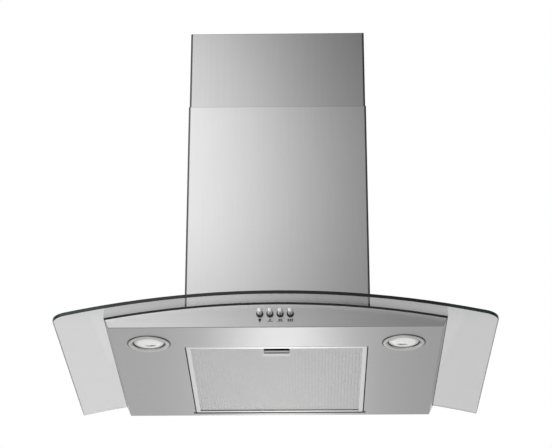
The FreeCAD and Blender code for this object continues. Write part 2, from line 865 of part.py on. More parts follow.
def motor_housing():
    """A round steel can with a bearing pocket in each end."""
    can = cylinder(motor_radius, motor_length, motor_base, V(1, 0, 0))
    hollow_base = motor_base + V(bearing_width + motor_wall, 0, 0)
    hollow = motor_length - 2 * (bearing_width + motor_wall)
    can = can.cut(cylinder(motor_radius - motor_wall, hollow, hollow_base, V(1, 0, 0)))
    for start in (motor_wall, motor_length - bearing_width - motor_wall):
        pocket = cylinder(bearing_radius, bearing_width, motor_base + V(start, 0, 0), V(1, 0, 0))
        can = can.cut(pocket)
    through = cylinder(
        shaft_radius + 2 * slip_gap, motor_length + 2 * overrun, motor_base - V(overrun, 0, 0), V(1, 0, 0)
    )
    return can.cut(through)


def motor_bearings():
    bearings = []
    for start in (motor_wall, motor_length - bearing_width - motor_wall):
        base = motor_base + V(start, 0, 0)
        bearings.append(tube(bearing_radius, shaft_radius + running_gap, bearing_width, base, V(1, 0, 0)))
    return Part.makeCompound(bearings)


def motor_stator():
    start = motor_base + V((motor_length - stator_length) / 2, 0, 0)
    core = tube(motor_radius - motor_wall, stator_inner, stator_length, start, V(1, 0, 0))
    slot_reach = (stator_outer - stator_inner) / 2
    for i in range(blade_count // 3):
        slot = box(
            -overrun, stator_length + overrun, -slot_reach / 4, slot_reach / 4,
            stator_inner + slot_reach / 3, stator_inner + slot_reach,
        )
        slot.rotate(V(0, 0, 0), V(1, 0, 0), i * 360 / (blade_count // 3))
        slot.translate(start)
        core = core.cut(slot)
    return core


def motor_rotor():
    start = motor_base + V((motor_length - stator_length) / 2, 0, 0)
    return tube(stator_inner - rotor_gap, shaft_radius, stator_length, start, V(1, 0, 0))


def motor_bracket():
    """A clamp ring on the motor with three arms to the volute's side."""
    face = scroll_width / 2 + inlet_ring_wall
    base = scroll_axis + V(face, 0, 0)
    width = motor_start + motor_length - face - tuck
    ring_outer = motor_radius + motor_ring_wall
    bracket = cylinder(ring_outer, width, base, V(1, 0, 0))
    for i in range(motor_arm_count):
        arm = box(
            0, motor_arm_thickness, -motor_arm_width / 2, motor_arm_width / 2,
            motor_radius, inlet_radius + inlet_ring_lip + motor_arm_width,
        )
        toe_low = inlet_radius + inlet_ring_lip + slip_gap
        toe = box(
            -inlet_ring_wall, motor_arm_thickness, -motor_arm_width / 2, motor_arm_width / 2,
            toe_low, inlet_radius + inlet_ring_lip + motor_arm_width,
        )
        arm = arm.fuse(toe)
        arm.rotate(V(0, 0, 0), V(1, 0, 0), motor_arm_first + i * 360 / motor_arm_count)
        arm.translate(base)
        bracket = bracket.fuse(arm)
    bracket = bracket.removeSplitter()
    through = cylinder(motor_radius, width + 2 * overrun, base - V(overrun, 0, 0), V(1, 0, 0))
    return bracket.cut(through)


def capacitor():
    base = V(-capacitor_x, -capacitor_front, capacitor_low)
    can = cylinder(capacitor_radius, capacitor_height, base, V(0, 0, 1))
    ends = [e for e in can.Edges if e.BoundBox.ZLength < tuck]
    can = can.makeFillet(capacitor_radius / 9, ends)
    tops = []
    for side in (-1, 1):
        foot = base + V(side * capacitor_radius / 2, 0, capacitor_height)
        tops.append(cylinder(capacitor_radius / 6, capacitor_radius / 2, foot, V(0, 0, 1)))
    return join([can] + tops)


def capacitor_strap():
    """A steel band that holds the capacitor to the case's left wall."""
    low = capacitor_low + (capacitor_height - strap_width) / 2
    base = V(-capacitor_x, -capacitor_front, low)
    loop = cylinder(capacitor_radius + strap_thickness, strap_width, base, V(0, 0, 1))
    wall = -box_width / 2 + box_sheet
    tail_y = -capacitor_front + capacitor_radius
    arm = box(wall, -capacitor_x, tail_y, tail_y + strap_thickness, low, low + strap_width)
    foot_end = tail_y + capacitor_radius
    foot = box(wall, wall + strap_thickness, tail_y, foot_end, low, low + strap_width)
    band_solid = join([loop, arm, foot])
    room = cylinder(capacitor_radius, strap_width + 2 * overrun, base - V(0, 0, overrun), V(0, 0, 1))
    return band_solid.cut(room)


# Duct collar and damper flaps

collar_base = V(0, collar_centre_y, box_top)
collar_inner = collar_radius - collar_wall
flap_plane = box_top + ledge_height + ledge_thickness + slip_gap
flap_pin_height = flap_plane + flap_thickness + flap_thickness / 2


def duct_collar():
    wall = tube(collar_radius, collar_inner, collar_length, collar_base, V(0, 0, 1))
    flange = tube(
        collar_radius + collar_flange, collar_inner, collar_flange_thickness, collar_base, V(0, 0, 1)
    )
    ledge = tube(
        collar_radius - collar_wall / 2, collar_inner - ledge_width, ledge_thickness,
        collar_base + V(0, 0, ledge_height), V(0, 0, 1),
    )
    collar = join([wall, flange, ledge])
    for side in (-1, 1):
        start = V(side * flap_pin_offset, collar_centre_y - collar_radius - overrun, flap_pin_height)
        hole = cylinder(flap_pin_radius, 2 * (collar_radius + overrun), start, V(0, 1, 0))
        collar = collar.cut(hole)
    return collar


def damper_pins():
    reach = math.sqrt(collar_radius ** 2 - (flap_pin_offset + flap_pin_radius) ** 2)
    start = V(flap_pin_offset, collar_centre_y - reach, flap_pin_height)
    return pair(cylinder(flap_pin_radius, 2 * reach, start, V(0, 1, 0)))


def damper_flap():
    """The right half-round flap with the barrel that turns on its pin."""
    radius = collar_inner - flap_edge_gap
    disc = cylinder(radius, flap_thickness, V(0, collar_centre_y, flap_plane), V(0, 0, 1))
    inner_x = flap_pin_offset + flap_pin_radius
    keep = box(
        inner_x, 2 * radius, collar_centre_y - radius, collar_centre_y + radius, flap_plane, 2 * box_top
    )
    disc = disc.common(keep)
    length = 2 * (collar_inner - flap_barrel_cut)
    start = V(flap_pin_offset, collar_centre_y - length / 2, flap_pin_height)
    barrel = cylinder(flap_barrel_radius, length, start, V(0, 1, 0))
    clear_end = box(
        inner_x - tuck, flap_pin_offset + flap_barrel_radius + slip_gap,
        collar_centre_y - 2 * radius, collar_centre_y - length / 2, flap_plane - overrun, box_top * 2,
    )
    other_end = clear_end.copy()
    other_end.translate(V(0, 2 * radius + length / 2, 0))
    disc = disc.cut(clear_end).cut(other_end)
    bore_start = start - V(0, overrun, 0)
    bore = cylinder(flap_pin_radius + running_gap, length + 2 * overrun, bore_start, V(0, 1, 0))
    return join([disc, barrel]).cut(bore)


def damper_flap_right():
    return damper_flap()


def damper_flap_left():
    return mirror_x(damper_flap())


# Filter cassette

def filter_frame():
    """The aluminium channel frame with two hook tabs at its rear edge."""
    low, high = 0, filter_thickness
    outer = filter_window(0, low, high)
    pivot_edge = [
        e for e in outer.Edges
        if e.BoundBox.ZMax < tuck and e.BoundBox.YMin > -filter_rear - tuck
    ]
    outer = outer.makeFillet(filter_pivot_round, pivot_edge)
    inner = filter_width / 2 - filter_bar
    window = box(
        -inner, inner, -filter_front + filter_bar, -filter_rear - filter_bar, low - overrun, high + overrun
    )
    groove_half = filter_width / 2 - filter_wall
    groove_low = mesh_lip
    groove_high = mesh_lip + mesh_thickness
    groove = box(
        -groove_half, groove_half, -filter_front + filter_wall, -filter_rear - filter_wall,
        groove_low, groove_high,
    )
    frame = outer.cut(window).cut(groove)
    tab_low = sheet + slip_gap
    for side in (-1, 1):
        x = side * tab_spacing / 2
        tab = box(
            x - tab_width / 2, x + tab_width / 2, -filter_rear - filter_wall, -filter_rear + tab_reach,
            tab_low, tab_low + tab_thickness,
        )
        frame = frame.fuse(tab)
    frame = frame.removeSplitter()
    half = tongue_width / 2 + slip_gap
    tongue_low = tab_low - slip_gap
    tongue_high = tab_low + tongue_thickness + slip_gap
    slot = box(
        -half, half, -filter_front - overrun, -filter_front + filter_bar + overrun, tongue_low, tongue_high
    )
    return frame.cut(slot)


def filter_mesh():
    """The folded aluminium mesh, drawn as one ribbed sheet, cut out around the latch case."""
    half = filter_width / 2 - filter_bar + mesh_tuck
    front = filter_front - filter_bar + mesh_tuck
    rear = filter_rear + filter_bar - mesh_tuck
    low = mesh_lip
    rib_half = filter_width / 2 - filter_bar
    pitch = 2 * rib_half / mesh_ribs
    under = [V(-half, -front, low), V(-rib_half, -front, low)]
    for i in range(mesh_ribs):
        left = -rib_half + i * pitch
        under.append(V(left + pitch / 2, -front, low + mesh_rib_depth))
        under.append(V(left + pitch, -front, low))
    under.append(V(half, -front, low))
    over = [p + V(0, 0, mesh_sheet) for p in reversed(under)]
    pad = prism(under + over, V(0, front - rear, 0))
    passage = box(
        -tongue_width / 2 - slip_gap, tongue_width / 2 + slip_gap, -front - overrun,
        -filter_front + filter_bar, low - overrun, low + mesh_thickness,
    )
    return pad.cut(latch_outline(slip_gap)).cut(passage)


latch_case_half = latch_width / 2 + latch_wall
latch_mouth_rear = latch_front - finger_slot - latch_lip - latch_travel
latch_case_rear = latch_mouth_rear - latch_wall
latch_tail_rear = latch_case_rear - latch_tail
latch_tail_low = mesh_lip + latch_plate + latch_tail_step
latch_low = latch_plate / 2


def latch_outline(margin):
    """The outer form of the latch case, widened by margin: a shallow tray and a spring tail."""
    tray = box(
        -latch_case_half - margin, latch_case_half + margin, -filter_front + filter_bar - margin,
        -latch_case_rear + margin, latch_low - margin, latch_height + margin,
    )
    tail = box(
        -tongue_width - margin, tongue_width + margin, -latch_case_rear - tuck,
        -latch_tail_rear + margin, latch_tail_low - margin, latch_height + margin,
    )
    return join([tray, tail])


def latch_case():
    """The black pocket in the cassette that the pull lip slides in."""
    front = filter_front - filter_bar
    whole = latch_outline(0)
    mouth = box(
        -latch_width / 2, latch_width / 2, -latch_front, -latch_mouth_rear,
        latch_low - overrun, latch_height - latch_wall,
    )
    half = tongue_width / 2 + slip_gap
    guide = box(
        -half, half, -front - overrun, -latch_front + overrun,
        sheet, sheet + 2 * slip_gap + tongue_thickness,
    )
    pocket_half = tongue_width - latch_wall
    pocket = box(
        -pocket_half, pocket_half, -latch_mouth_rear - overrun, -latch_tail_rear - latch_wall,
        latch_tail_low + latch_wall / 2, latch_height - latch_wall / 2,
    )
    return whole.cut(mouth).cut(guide).cut(pocket)


def latch_handle():
    """The pull lip with its tongue, which rests over the front edge of the filter opening."""
    low = latch_low
    lip_front = latch_front - finger_slot
    lip_rear = lip_front - latch_lip
    half = latch_width / 2 - slip_gap
    high = latch_height - latch_wall - slip_gap
    lip = box(-half, half, -lip_front, -lip_rear, low, low + latch_plate)
    web = box(-half, half, -lip_front, -lip_front + latch_plate, low, high)
    tongue_low = sheet + slip_gap
    tongue_half = tongue_width / 2
    tongue = box(
        -tongue_half, tongue_half, -filter_front - tongue_reach, -lip_front + tuck,
        tongue_low, tongue_low + tongue_thickness,
    )
    bridge = box(
        -tongue_half, tongue_half, -latch_front + slip_gap, -lip_front + tuck, high - latch_plate, high
    )
    riser = box(
        -tongue_half, tongue_half, -latch_front + slip_gap, -latch_front + slip_gap + latch_plate,
        tongue_low, high,
    )
    tongue_inside = box(
        -half, half, -latch_front + slip_gap + latch_plate, -lip_front, low - overrun, high - latch_plate
    )
    arm = join([tongue, bridge, riser]).cut(tongue_inside)
    return join([lip, web, arm])


def latch_spring():
    rear = latch_tail_rear + latch_wall
    start = latch_front - finger_slot - latch_plate
    length = start - rear - latch_spring_wire
    height = (latch_tail_low + latch_height) / 2
    base = V(0, -start + latch_spring_wire / 2, height)
    pitch = length / latch_spring_turns
    return helix(latch_spring_radius, latch_spring_wire, pitch, latch_spring_turns, base, V(0, 1, 0))


# Lamps

cup_low = lens_sink + lens_thickness
cup_top = arc_height(gasket_radius - sheet, lamp_spacing / 2 + cup_radius) - slip_gap
cup_height = cup_top - cup_low


def lamp_centre(side):
    return V(side * lamp_spacing / 2, -lamp_front, 0)


def lamp_trim(side):
    """The rounded ring around a lamp, with the collar that goes up through the panel."""
    centre = lamp_centre(side)
    bead_base = centre - V(0, 0, trim_proud)
    bead = tube(trim_radius, trim_inner_radius, trim_proud, bead_base, V(0, 0, 1))
    rims = [e for e in bead.Edges if e.BoundBox.ZMax < -trim_proud / 2]
    bead = bead.makeFillet(trim_edge_round, rims)
    collar = tube(trim_collar_radius, trim_inner_radius, trim_collar_height, centre, V(0, 0, 1))
    return join([bead, collar])


def dome(radius, bulge, base):
    """A cap of a sphere that bulges down from a flat disc of the given radius at base."""
    ball = (radius ** 2 + bulge ** 2) / (2 * bulge)
    centre = base + V(0, 0, ball - bulge)
    sphere = Part.makeSphere(ball, centre)
    below = cylinder(2 * radius, bulge, base - V(0, 0, bulge), V(0, 0, 1))
    return sphere.common(below)


def lamp_lens(side):
    """A frosted lens that bulges down in its rim, with a small pip at the middle."""
    centre = lamp_centre(side) + V(0, 0, lens_sink)
    outer = dome(lens_radius, lens_bulge, centre)
    rim = cylinder(lens_radius, lens_thickness, centre, V(0, 0, 1))
    pip_base = centre - V(0, 0, lens_bulge + lens_pip_height)
    pip = cylinder(lens_pip_radius, lens_pip_height + lens_bulge / 2, pip_base, V(0, 0, 1))
    lens = join([outer, rim, pip])
    hollow = dome(lens_radius - lens_thickness, lens_bulge - lens_thickness / 2, centre)
    up = cylinder(lens_radius - lens_thickness, 2 * lens_thickness, centre, V(0, 0, 1))
    return lens.cut(join([hollow, up]))


def lamp_cup(side):
    """The closed metal cup behind the lens."""
    centre = lamp_centre(side) + V(0, 0, cup_low)
    shell = cylinder(cup_radius, cup_height, centre, V(0, 0, 1))
    inner = cylinder(cup_radius - cup_wall, cup_height - cup_wall, centre, V(0, 0, 1))
    port_base = lamp_centre(side) + V(0, 0, lead_height)
    port = cylinder(lead_radius + slip_gap, 2 * cup_radius, port_base, V(-side, 0, 0))
    return shell.cut(inner).cut(port)


def lamp_board(side):
    """A round circuit board with a ring of light-emitting diodes."""
    base = lamp_centre(side) + V(0, 0, cup_top - cup_wall - board_thickness)
    pieces = [cylinder(board_radius, board_thickness, base, V(0, 0, 1))]
    for i in range(diode_count):
        angle = 2 * math.pi * i / diode_count
        offset = V(math.cos(angle), math.sin(angle), 0) * diode_circle_radius
        corner = base + offset - V(diode_size / 2, diode_size / 2, diode_height)
        pieces.append(Part.makeBox(diode_size, diode_size, diode_height + tuck, corner))
    return join(pieces)


def lamp_clips():
    """Two spring clips on each lamp, which press on the panel from above."""
    clips = []
    for side in (-1, 1):
        for way in (-1, 1):
            x = trim_collar_radius
            leg = box(x, x + clip_thickness, -clip_width / 2, clip_width / 2, sheet, trim_collar_height)
            foot_end = x + clip_reach
            foot = box(x, foot_end, -clip_width / 2, clip_width / 2, sheet, sheet + clip_thickness)
            clip = join([leg, foot])
            if way < 0:
                clip = mirror_x(clip)
            clip.rotate(V(0, 0, 0), V(0, 0, 1), 90)
            clip.translate(lamp_centre(side))
            clips.append(clip)
    return Part.makeCompound(clips)


# Buttons

bezel_back = body_front(button_height)
bezel_front = body_front(button_height) + bezel_proud
switch_front = body_bottom_front - sheet - bezel_depth - button_travel


def button(x):
    """A chromed cap with a rounded end and the stem that works the switch."""
    face = bezel_back + button_length
    cap_length = button_length + bezel_depth
    cap = cylinder(button_radius, cap_length, V(x, -face, button_height), V(0, 1, 0))
    rim = [e for e in cap.Edges if e.BoundBox.YMax < -face + button_radius / 2]
    cap = cap.makeFillet(button_round, rim)
    stem_start = V(x, -face + cap_length - tuck, button_height)
    stem_length = face - cap_length + tuck - switch_front - plunger_gap
    stem = cylinder(button_stem_radius, stem_length + switch_wall, stem_start, V(0, 1, 0))
    return join([cap, stem])


def button_bezels():
    """Four collars on the front panel, each with a neck through it, that the buttons slide in."""
    collars = []
    for x in button_places():
        base = V(x, -bezel_front, button_height)
        ring = cylinder(bezel_radius, bezel_proud + overrun, base, V(0, 1, 0))
        rim = [e for e in ring.Edges if e.BoundBox.YMax < -bezel_front + bezel_proud / 2]
        ring = ring.makeFillet(bezel_round, rim).cut(body_prism(0, 0, glass_crown))
        neck_base = base + V(0, bezel_proud / 2, 0)
        neck_length = bezel_proud / 2 + sheet + bezel_depth
        neck = cylinder(button_radius + 2 * slip_gap, neck_length, neck_base, V(0, 1, 0))
        bore_base = base - V(0, overrun, 0)
        bore_length = bezel_proud + sheet + bezel_depth + 2 * overrun
        bore = cylinder(button_radius + slip_gap, bore_length, bore_base, V(0, 1, 0))
        collars.append(join([ring, neck]).cut(bore))
    return Part.makeCompound(collars)


def switch_block():
    """The row of push switches behind the panel, in one moulded case with two fixing ears."""
    half = button_pitch * 3 / 2 + switch_margin
    left = button_centre_x - half
    right = button_centre_x + half
    low = button_height - switch_rise / 2
    high = button_height + switch_rise / 2
    case = box(left, right, -switch_front, -switch_front + switch_depth, low, high)
    ears = box(
        left - switch_ear, right + switch_ear, -switch_front, -switch_front + switch_wall,
        button_height - switch_ear / 2, button_height + switch_ear / 2,
    )
    posts = []
    for x in (left - switch_ear / 2, right + switch_ear / 2):
        top = body_front(button_height) - sheet
        posts.append(cylinder(switch_ear / 3, top - switch_front, V(x, -top, button_height), V(0, 1, 0)))
    block = join([case, ears] + posts)
    panel_side = body_prism(sheet, 0, glass_crown)
    block = block.common(panel_side)
    for x in button_places():
        start = V(x, -switch_front - overrun, button_height)
        well = cylinder(button_spring_radius + button_spring_wire, switch_depth * 2 / 3, start, V(0, 1, 0))
        block = block.cut(well)
    return block


def button_springs():
    """Four return springs between the stems and the bottoms of the switch wells."""
    springs = []
    for x in button_places():
        start = switch_front - switch_wall + plunger_gap - button_spring_wire
        well_end = switch_front + overrun - switch_depth * 2 / 3
        length = start - well_end - button_spring_wire
        base = V(x, -start, button_height)
        pitch = length / button_spring_turns
        coil = helix(
            button_spring_radius - button_spring_wire / 2, button_spring_wire, pitch,
            button_spring_turns, base, V(0, 1, 0),
        )
        springs.append(coil)
    return Part.makeCompound(springs)


# Electrical pieces

terminal_inner_x = box_width / 2
gland_nut_radius = gland_radius - terminal_wall


def terminal_box():
    """The plastic connection box on the right side of the blower case, open to the right."""
    x0 = terminal_inner_x
    x1 = x0 + terminal_width
    y0 = -terminal_front - terminal_depth / 2
    y1 = y0 + terminal_depth
    z0 = terminal_low
    z1 = z0 + terminal_height
    w = terminal_wall
    case = box(x0, x1, y0, y1, z0, z1).cut(box(x0 + w, x1 + overrun, y0 + w, y1 - w, z0 + w, z1 - w))
    port = V(x0 - overrun, -loom_rise_y, loom_exit_height)
    case = case.cut(cylinder(loom_radius + slip_gap, w + 2 * overrun, port, V(1, 0, 0)))
    inlet = V((x0 + x1) / 2, -terminal_front, z1 - w - overrun)
    return case.cut(cylinder(gland_nut_radius, w + 2 * overrun, inlet, V(0, 0, 1)))


def terminal_cover():
    x = terminal_inner_x + terminal_width
    y0 = -terminal_front - terminal_depth / 2
    z1 = terminal_low + terminal_height
    lid = box(x, x + terminal_cover_thickness, y0, y0 + terminal_depth, terminal_low, z1)
    edges = [e for e in lid.Edges if e.BoundBox.XMin > x + terminal_cover_thickness / 2]
    return lid.makeChamfer(terminal_cover_thickness / 3, edges)


def terminal_strip():
    """A row of screw terminals on the floor of the connection box."""
    x0 = terminal_inner_x + terminal_wall
    length = strip_ways * strip_pitch
    y0 = -terminal_front - length / 2
    z0 = terminal_low + terminal_height / 2
    pieces = [box(x0, x0 + strip_depth, y0, y0 + length, z0, z0 + strip_height)]
    for i in range(strip_ways - 1):
        y = y0 + strip_pitch * (i + 1)
        pieces[0] = pieces[0].cut(
            box(
                x0 + strip_depth / 2, x0 + 2 * strip_depth, y - slip_gap, y + slip_gap,
                z0 - overrun, z0 + strip_height + overrun,
            )
        )
    for i in range(strip_ways):
        base = V(x0 + strip_depth - tuck, y0 + strip_pitch * (i + 1 / 2), z0 + strip_height / 2)
        pieces.append(cylinder(strip_screw_radius, strip_screw_height + tuck, base, V(1, 0, 0)))
    return join(pieces)


def cable_gland():
    """The gland for the supply cord in the top of the connection box."""
    x = terminal_inner_x + terminal_width / 2
    top = terminal_low + terminal_height
    low = V(x, -terminal_front, top - terminal_wall - gland_nut_height)
    shank = cylinder(gland_nut_radius, terminal_wall + gland_nut_height + tuck, low, V(0, 0, 1))
    nut = cylinder(gland_radius, gland_nut_height, low, V(0, 0, 1))
    body = cylinder(gland_radius, gland_height, V(x, -terminal_front, top), V(0, 0, 1))
    rim = [e for e in body.Edges if e.BoundBox.ZMin > top + gland_height / 2]
    body = body.makeFillet(gland_radius / 4, rim)
    gland = join([shank, nut, body])
    start = low - V(0, 0, overrun)
    length = gland_height + gland_nut_height + terminal_wall + 2 * overrun
    return gland.cut(cylinder(gland_bore, length, start, V(0, 0, 1)))


def led_driver():
    """The supply for the lamps, on the floor of the canopy beside the filter."""
    x0 = -driver_x
    y0 = -driver_front
    case = box(x0, x0 + driver_width, y0, y0 + driver_length, sheet, sheet + driver_height)
    edges = [e for e in case.Edges if e.BoundBox.ZMin > sheet + driver_height / 2]
    return case.makeFillet(driver_round, edges)


# Wiring

def wiring_loom():
    """The lead from the switches to the connection box, clipped under the rolled plate."""
    start = -switch_front + switch_depth
    port = box_width / 2 - box_sheet
    points = [
        V(loom_start_x, start, loom_height),
        V(loom_start_x, -loom_turn_y, loom_height),
        V(loom_x, -loom_turn_y, loom_height),
        V(loom_x, -loom_rise_y, loom_height),
        V(loom_x, -loom_rise_y, loom_exit_height),
        V(port + box_sheet + terminal_wall + overrun, -loom_rise_y, loom_exit_height),
    ]
    return path_tube(points, loom_radius, min(loom_bend, (port - loom_x) * 2 / 3))


def loom_clips():
    """Bent clips that hold the loom to the underside of the rolled plate."""
    clips = []
    ceiling = arc_height(gasket_radius - sheet, loom_x + loom_radius + clip_band)
    for i in range(loom_clip_count):
        y = -clip_first_y + clip_pitch * i
        ring = tube(
            loom_radius + clip_wall, loom_radius, clip_band, V(loom_x, y, loom_height), V(0, 1, 0)
        )
        stem = box(
            loom_x - clip_wall / 2, loom_x + clip_wall / 2, y, y + clip_band,
            loom_height + loom_radius + clip_wall / 2, ceiling + overrun,
        )
        stem = stem.common(roll(gasket_radius - sheet, glass_depth, 0))
        clips.append(join([ring, stem]))
    return Part.makeCompound(clips)


def lamp_leads():
    """The leads from the switch block to the two lamps."""
    leads = []
    half = button_pitch * 3 / 2 + switch_margin
    for side in (-1, 1):
        block_side = button_centre_x + side * half
        y = -switch_front + switch_depth * 2 / 3
        lamp_x = side * (lamp_spacing / 2 - cup_radius + cup_wall + tuck)
        turn_x = side * (lamp_spacing / 2 - cup_radius - 2 * lead_bend)
        points = [
            V(block_side, y, lead_height),
            V(turn_x, y, lead_height),
            V(turn_x, -lamp_front, lead_height),
            V(lamp_x, -lamp_front, lead_height),
        ]
        leads.append(path_tube(points, lead_radius, lead_bend))
    return Part.makeCompound(leads)


button_names = ["light_button", "low_speed_button", "medium_speed_button", "high_speed_button"]

pieces = {
    "canopy_body": canopy_body,
    "top_plate": top_plate,
    "back_plate": back_plate,
    "glass_gasket": glass_gasket,
    "glass_canopy": glass_canopy,
    "glass_washers": glass_washers,
    "glass_screws": glass_screws,
    "lower_duct_cover": lower_duct_cover,
    "cover_foot_brackets": cover_foot_brackets,
    "cover_screws": cover_screws,
    "upper_duct_cover": upper_duct_cover,
    "ceiling_bracket": ceiling_bracket,
    "ceiling_screws": ceiling_screws,
    "blower_box": blower_box,
    "box_screws": box_screws,
    "scroll_housing": scroll_housing,
    "inlet_rings": inlet_rings,
    "impeller": impeller,
    "motor_shaft": motor_shaft,
    "motor_rotor": motor_rotor,
    "motor_stator": motor_stator,
    "motor_housing": motor_housing,
    "motor_bearings": motor_bearings,
    "motor_bracket": motor_bracket,
    "capacitor": capacitor,
    "capacitor_strap": capacitor_strap,
    "duct_collar": duct_collar,
    "damper_pins": damper_pins,
    "damper_flap_left": damper_flap_left,
    "damper_flap_right": damper_flap_right,
    "filter_frame": filter_frame,
    "filter_mesh": filter_mesh,
    "latch_case": latch_case,
    "latch_handle": latch_handle,
    "latch_spring": latch_spring,
    "lamp_clips": lamp_clips,
    "button_bezels": button_bezels,
    "switch_block": switch_block,
    "button_springs": button_springs,
    "terminal_box": terminal_box,
    "terminal_cover": terminal_cover,
    "terminal_strip": terminal_strip,
    "cable_gland": cable_gland,
    "led_driver": led_driver,
    "wiring_loom": wiring_loom,
    "loom_clips": loom_clips,
    "lamp_leads": lamp_leads,
}


def write(name, shape):
    shape.translate(V(0, 0, -origin_height))
    shape.exportStep("parts/" + name + ".step")
    valid = "valid" if shape.isValid() else "NOT VALID"
    print(name, len(shape.Solids), "solids", round(shape.Volume), "mm3", valid)


os.makedirs("parts", exist_ok=True)
for name, make in pieces.items():
    write(name, make())
for label, side in (("left", -1), ("right", 1)):
    write(label + "_lamp_trim", lamp_trim(side))
    write(label + "_lamp_lens", lamp_lens(side))
    write(label + "_lamp_cup", lamp_cup(side))
    write(label + "_lamp_board", lamp_board(side))
for name, x in zip(button_names, button_places()):
    write(name, button(x))
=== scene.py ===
# %% [markdown]
# # Wall mount range hood
# This notebook dresses a finished CAD model of a cooker hood: a shallow stainless canopy, a bent glass
# plate over it, and a duct cover that telescopes up the wall. The CAD nodes already have the right shape,
# so most of the work here is finish: each sheet, moulding and wire gets a material that reads as the real
# one. Two things are too fine for the CAD model, the expanded mesh of the filter and the marks under the
# buttons. They are added as surfaces worked out with numpy, and so is a spring that has to shorten.

import math

import bpy
import numpy as np
from mathutils import Matrix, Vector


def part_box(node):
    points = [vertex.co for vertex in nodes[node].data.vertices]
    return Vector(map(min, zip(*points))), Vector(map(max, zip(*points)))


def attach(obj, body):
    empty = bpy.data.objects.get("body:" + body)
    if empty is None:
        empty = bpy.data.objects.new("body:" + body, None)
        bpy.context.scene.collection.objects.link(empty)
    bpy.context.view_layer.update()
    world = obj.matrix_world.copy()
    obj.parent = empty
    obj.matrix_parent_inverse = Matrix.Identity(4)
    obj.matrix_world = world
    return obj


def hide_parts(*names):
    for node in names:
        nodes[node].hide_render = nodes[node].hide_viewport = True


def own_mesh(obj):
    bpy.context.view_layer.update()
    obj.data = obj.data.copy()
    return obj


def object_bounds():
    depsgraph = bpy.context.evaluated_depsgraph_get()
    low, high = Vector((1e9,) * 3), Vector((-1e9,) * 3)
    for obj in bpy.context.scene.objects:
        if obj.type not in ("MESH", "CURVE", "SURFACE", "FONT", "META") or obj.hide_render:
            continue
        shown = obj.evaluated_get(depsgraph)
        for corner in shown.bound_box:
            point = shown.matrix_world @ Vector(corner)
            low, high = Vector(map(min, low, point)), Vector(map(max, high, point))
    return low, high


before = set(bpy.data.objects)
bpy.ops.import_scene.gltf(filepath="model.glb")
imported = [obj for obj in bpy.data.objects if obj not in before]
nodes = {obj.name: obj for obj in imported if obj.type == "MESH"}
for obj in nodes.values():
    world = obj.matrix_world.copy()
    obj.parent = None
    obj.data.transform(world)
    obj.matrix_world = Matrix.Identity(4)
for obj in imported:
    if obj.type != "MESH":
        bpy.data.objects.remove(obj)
cad_low, cad_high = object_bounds()
print("CAD nodes:", len(nodes), "box:", tuple(cad_low), tuple(cad_high))

# %% [markdown]
# ## Camera
# The hood hangs above eye level, so the picture looks up at its underside. Matching a photograph's
# perspective could be done by eye, but the camera's place, its angles and its lens follow from where a few
# corners are seen. A long lens keeps the upright edges of the duct cover nearly parallel.

# %% Set the camera
camera_place = (0.05547, -3.46188, -1.37052)
camera_yaw = -0.0182
camera_pitch = 0.4298
camera_roll = 0.0007
focal_pixels = 1911.29
picture_width = 552
sensor_width = 36.0
nearest_seen = 0.05
farthest_seen = 60.0


def axes_matrix(across, upward, back, place):
    """The matrix of a camera or a light at place, which looks the opposite way to back."""
    matrix = np.identity(4)
    matrix[:3] = np.stack([across, upward, back, place], axis=1)
    return Matrix(matrix.tolist())


def camera_matrix(place, yaw, pitch, roll):
    """A camera that looks along +Y is turned right by yaw and up by pitch, and roll raises its right side."""
    ahead = np.array([math.sin(yaw) * math.cos(pitch), math.cos(yaw) * math.cos(pitch), math.sin(pitch)])
    right = np.array([math.cos(yaw), -math.sin(yaw), 0.0])
    up = np.cross(right, ahead)
    across = right * math.cos(roll) + up * math.sin(roll)
    upward = up * math.cos(roll) - right * math.sin(roll)
    return axes_matrix(across, upward, -ahead, place)


camera_data = bpy.data.cameras.new("camera")
camera_data.sensor_width = sensor_width
camera_data.lens = sensor_width * focal_pixels / picture_width
camera_data.clip_start = nearest_seen
camera_data.clip_end = farthest_seen
camera = bpy.data.objects.new("camera", camera_data)
camera.matrix_world = camera_matrix(camera_place, camera_yaw, camera_pitch, camera_roll)
bpy.context.scene.collection.objects.link(camera)
bpy.context.scene.camera = camera
print("lens in millimetres:", round(camera_data.lens, 2))

# %% [markdown]
# ## Node helpers
# A procedural material is a small graph. Writing each link by hand is long, so one helper adds a node and
# takes its inputs by name: a plain value is set on the socket, and a socket of another node is linked to
# it. The rest are short names for what many finishes share.

# %% Make nodes by name
def put(tree, socket, value):
    """Links value to the socket if it is an output, and otherwise sets it as the socket's value."""
    if isinstance(value, bpy.types.NodeSocket):
        tree.links.new(value, socket)
    else:
        socket.default_value = value


def add(tree, kind, inputs=None, **settings):
    """Adds one node, sets its properties, then its inputs by name or number, and returns it."""
    node = tree.nodes.new(kind)
    for key, value in settings.items():
        setattr(node, key, value)
    for key, value in (inputs or {}).items():
        put(tree, node.inputs[key], value)
    return node


def connect(tree, shader, **inputs):
    """Puts values on a shader's inputs. An underscore stands for the space in an input's name."""
    for key, value in inputs.items():
        put(tree, shader.inputs[key.replace("_", " ")], value)


# %% Work with numbers
def math_node(tree, operation, *values):
    """One Math node with up to three inputs."""
    node = add(tree, "ShaderNodeMath", operation=operation)
    for socket, value in zip(node.inputs, values):
        put(tree, socket, value)
    return node.outputs[0]


def times(tree, product, *factors):
    """All the values multiplied."""
    for factor in factors:
        product = math_node(tree, "MULTIPLY", product, factor)
    return product


def most(tree, largest, *others):
    """The largest of the values."""
    for value in others:
        largest = math_node(tree, "MAXIMUM", largest, value)
    return largest


def apart(tree, value, centre):
    """How far value is from centre, to either side."""
    return math_node(tree, "ABSOLUTE", math_node(tree, "SUBTRACT", value, centre))


